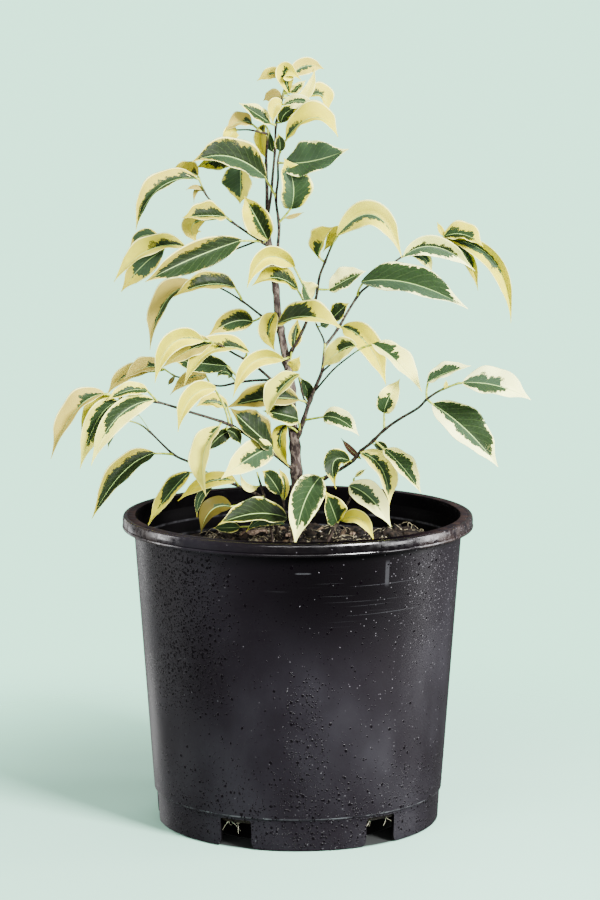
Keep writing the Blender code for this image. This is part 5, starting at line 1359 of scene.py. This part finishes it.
def mix_top_mesh(name, radius):
    """The mound's own top as a plain sheet for bits to lie on."""
    rings, sides = 24, 48
    points = [(0.0, 0.0, mix_height(0.0, 0.0))]
    faces = []
    for ring in range(1, rings + 1):
        for side in range(sides):
            angle = 2 * pi * side / sides
            x, y = (radius * ring / rings * f(angle) for f in (cos, sin))
            points.append((x, y, mix_height(x, y)))
            here = 1 + (ring - 1) * sides + side
            ahead = 1 + (ring - 1) * sides + (side + 1) % sides
            faces.append((0, here, ahead) if ring == 1 else (here - sides, here, ahead, ahead - sides))
    mesh = bpy.data.meshes.new(name)
    mesh.from_pydata(points, [], faces)
    return mesh


scatter = make_scatter()
BIT_RADIUS = MIX_RADIUS - 0.0035
BITS = (
    ("crumbs", 62000.0, 3, 0.0012, 0.0046, (1.0, 0.9, 0.75), 0.40, 1, 0.10, (0.0012, 0.0009, 0.0007), (0.230, 0.200, 0.135), 0.85, 420.0, 0.50, 0.63),
    ("clods", 7000.0, 11, 0.005, 0.0140, (1.0, 0.85, 0.75), 0.42, 2, 0.10, (0.0010, 0.0007, 0.0005), (0.018, 0.0120, 0.0080), 0.85, 300.0, 0.40, 0.62),
    ("perlite", 6500.0, 5, 0.0008, 0.0026, (1.0, 0.9, 0.8), 0.25, 1, 0.00, (0.22, 0.19, 0.13), (0.62, 0.56, 0.42), 0.7, 400.0, 0.38, 0.62),
    ("bark_chips", 2600.0, 8, 0.003, 0.0105, (1.0, 0.6, 0.26), 0.20, 2, -0.05, (0.024, 0.015, 0.009), (0.160, 0.110, 0.065), 0.75, 200.0, 0.40, 0.62),
)
for name, count, seed, least, most, flat, rugged, detail, sink, *finish in BITS:
    piece = grow(name, mix_top_mesh(name, BIT_RADIUS), scatter,
                 {"Count": count, "Seed": seed, "Smallest": least, "Largest": most, "Flatness": flat,
                  "Ruggedness": rugged, "Detail": detail, "Sink": sink},
                 {"Finish": bit_paint(name, *finish)})
    hand_in(piece, "potting_mix")

# %% [markdown]
# ## Fibres and roots
#
# Loose fibres lie in the mix, and the tips of a few roots show in the drain notches, as they do on any plant
# that has stood in its pot for some months. Both are thin wandering threads, so they're drawn as chains and
# grown by the same tube tree as the twigs.

# %% Threads in the mix and in the notches
FIBRES = 190
ROOTS_A_NOTCH = 5
FRONT_CHIPS = (((245, 538), (266, 534), 3.2), ((299, 540), (286, 538), 3.4), ((352, 536), (368, 533), 1.6))


def wander(draw, start, aim, length, steps, wobble):
    """Points that run from a start in one direction and stray a little at each step."""
    points = [start]
    for step in range(steps):
        aim = (aim + Vector([draw.uniform(-wobble, wobble) for axis in range(3)])).normalized()
        points.append(points[-1] + aim * (length / steps))
    return points


def lay_fibres(chains, draw):
    for fibre in range(FIBRES):
        out = BIT_RADIUS * 0.93 * draw.random() ** 0.5
        angle = draw.uniform(0, 2 * pi)
        heading = draw.uniform(0, 2 * pi)
        start = Vector((out * cos(angle), out * sin(angle), 0.0))
        line = wander(draw, start, Vector((cos(heading), sin(heading), 0.0)), draw.uniform(0.006, 0.017), 6, 0.45)
        rise = draw.uniform(0.0008, 0.0034)
        for step, point in enumerate(line):
            point.z = mix_height(point.x, point.y) - 0.0008 + rise * sin(pi * step / 6) + 0.0010
        if all((point.x ** 2 + point.y ** 2) ** 0.5 < BIT_RADIUS for point in line):
            lay_twig(chains, line, draw.uniform(0.13, 0.27), 0.10, [], (1.0, 1.0))


def on_mix(x, y):
    """Where the sight line through a pixel meets the mix."""
    line = [seen(x, y, back) for back in range(10, 90)]
    return next((point for point in line if point.z < mix_height(point.x, point.y)), line[-1])


def lay_chips(chains, draw):
    for left, right, thick in FRONT_CHIPS:
        ends = [on_mix(*left), on_mix(*right)]
        lift = Vector((0.0, 0.0, thick * 0.4 * MM))
        line = [ends[0].lerp(ends[1], k / 6) + lift for k in range(7)]
        lay_twig(chains, line, thick, thick * 0.5, [], (1.0, 1.0))


def lay_roots(chains, draw):
    for notch in range(NOTCHES):
        angle = NOTCH_TURN + pi / NOTCHES - pi / 2 + 2 * pi * notch / NOTCHES
        outward = Vector((cos(angle), sin(angle), 0.0))
        beside = Vector((-sin(angle), cos(angle), 0.0))
        for root in range(ROOTS_A_NOTCH):
            start = outward * 0.0806 + beside * draw.uniform(-0.0075, 0.0075) + Vector((0.0, 0.0, SHELF + 0.0012))
            line = [start, start + outward * 0.0014 + Vector((0.0, 0.0, 0.0002))]
            aim = (beside * draw.uniform(-0.8, 0.8) - Vector((0.0, 0.0, 1.0))).normalized()
            line += wander(draw, line[-1], aim, draw.uniform(0.004, 0.010), 5, 0.35)[1:]
            for point in line:
                flat = Vector((point.x, point.y, 0.0))
                if flat.length > FOOT_RADIUS - WALL - 0.0002:
                    point.xy = (flat * ((FOOT_RADIUS - WALL - 0.0002) / flat.length)).xy
            lay_twig(chains, smooth_route(line, 2), draw.uniform(0.14, 0.26), 0.10, [], (1.0, 1.0))


def grow_threads(name, lay, seed, sides, dark, light, lump=0.0001, lump_scale=900.0):
    chains = Chains()
    lay(chains, Random(seed))
    paint = bit_paint(name, dark, light, 0.7, 500.0)
    piece = grow(name, chains.mesh(name), bark_tube, {"Sides": sides, "Lump Size": lump, "Lump Scale": lump_scale},
                 {"Finish": paint})
    hand_in(piece, "potting_mix")


grow_threads("fibres", lay_fibres, 21, 6, (0.030, 0.024, 0.014), (0.34, 0.30, 0.18))
grow_threads("front_chips", lay_chips, 9, 12, (0.060, 0.038, 0.024), (0.30, 0.21, 0.15), 0.0022, 300.0)
grow_threads("notch_roots", lay_roots, 4, 6, (0.10, 0.085, 0.060), (0.34, 0.31, 0.23))

# %% [markdown]
# ## Light, floor and camera
#
# The photo is a cut-out on a plain pale green, lit softly from the front and above, more from the right. The
# stage keeps to that: a small pale floor that fades into the backdrop, broad soft lamps, and a camera where
# the photo was taken from. The backdrop's colour is only for the eye; the light that it sheds is neutral.

# %% Stage
BACKDROP = (1.36, 2.85, 2.05, 1.0)
SOFT_LIGHT = (0.95, 1.0, 0.97, 1.0)
FLOOR_COLOUR = (0.38, 0.70, 0.54, 1.0)
FOOT_SHADE = 0.081
FLOOR_INNER = 0.14
FLOOR_OUTER = 0.50


def make_floor():
    paint = Paint("floor")
    x, y, z = paint.split(paint.place())
    out = paint.vector('LENGTH', paint.join(x, y, 0.0))
    # painted shadow: inside FOOT_SHADE the floor under the pot is painted near black
    colour = paint.blend(paint.ramp(out, FOOT_SHADE, FOOT_SHADE + 0.004), (0.01, 0.012, 0.011, 1.0), FLOOR_COLOUR)
    paint.set(Base_Color=colour, Roughness=0.9, Alpha=paint.ramp(out, FLOOR_INNER, FLOOR_OUTER, 1.0, 0.0))
    mesh = bpy.data.meshes.new("floor")
    ring = [(FLOOR_OUTER * cos(2 * pi * k / 64), FLOOR_OUTER * sin(2 * pi * k / 64), 0.0) for k in range(64)]
    mesh.from_pydata(ring, [], [tuple(range(64))])
    mesh.materials.append(paint.material)
    floor = bpy.data.objects.new("floor", mesh)
    floor.location.z = -0.0005
    floor.visible_glossy = False
    bpy.context.scene.collection.objects.link(floor)


def make_air():
    """What the eye sees behind the plant, and the even light that comes from all round."""
    world = bpy.data.worlds.new("studio")
    bpy.context.scene.world = world
    world.use_nodes = True
    tree = world.node_tree
    light = tree.nodes["Background"]
    light.inputs["Color"].default_value = SOFT_LIGHT
    light.inputs["Strength"].default_value = 0.19
    backdrop = add_node(tree, "ShaderNodeBackground", values=[("Color", BACKDROP)])
    seen_directly = add_node(tree, "ShaderNodeLightPath").outputs["Is Camera Ray"]
    mixed = add_node(tree, "ShaderNodeMixShader",
                     values=[(0, seen_directly), (1, light.outputs[0]), (2, backdrop.outputs[0])])
    tree.links.new(mixed.outputs[0], tree.nodes["World Output"].inputs["Surface"])


def add_lamp(name, place, aim, size, power, shines=True):
    lamp = bpy.data.lights.new(name, 'AREA')
    lamp.shape = 'RECTANGLE'
    lamp.size, lamp.size_y = size
    lamp.energy = power
    thing = bpy.data.objects.new(name, lamp)
    thing.location = place
    thing.rotation_euler = (Vector(aim) - Vector(place)).to_track_quat('-Z', 'Y').to_euler()
    thing.visible_glossy = shines
    bpy.context.scene.collection.objects.link(thing)


def add_camera():
    camera = bpy.data.cameras.new("camera")
    camera.sensor_width = SENSOR
    camera.lens = FOCAL_PIXELS * SENSOR / PHOTO_HEIGHT
    camera.dof.use_dof = False
    thing = bpy.data.objects.new("camera", camera)
    thing.location = EYE
    thing.rotation_euler = (pi / 2 - LOOK_DOWN, 0.0, 0.0)
    bpy.context.scene.collection.objects.link(thing)
    bpy.context.scene.camera = thing


make_floor()
make_air()
add_lamp("key", (1.2, -1.35, 1.15), (0.0, 0.0, 0.25), (0.55, 0.55), 215.0)
add_lamp("fill", (-1.2, -1.5, 0.55), (0.0, 0.0, 0.2), (1.2, 1.2), 55.0, False)
add_lamp("back", (0.3, 1.3, 1.3), (0.0, 0.0, 0.3), (1.2, 0.8), 18.0, False)
add_lamp("front_strip", (0.2, -2.3, 1.05), (0.0, 0.0, 0.18), (2.2, 0.12), 26.0)
add_lamp("rim_glint", (1.38, -0.66, 0.24), (0.06, -0.09, 0.18), (0.42, 0.5), 14.0)
add_lamp("right_edge", (1.5, 0.1, 0.35), (0.0, 0.0, 0.15), (0.5, 1.0), 28.0)
add_lamp("left_side", (-1.5, 0.2, 0.40), (0.0, 0.0, 0.15), (0.4, 1.0), 14.0)
add_lamp("left_edge", (-0.9, 1.3, -0.05), (0.0, 0.0, 0.15), (0.5, 1.0), 3.0)
add_camera()
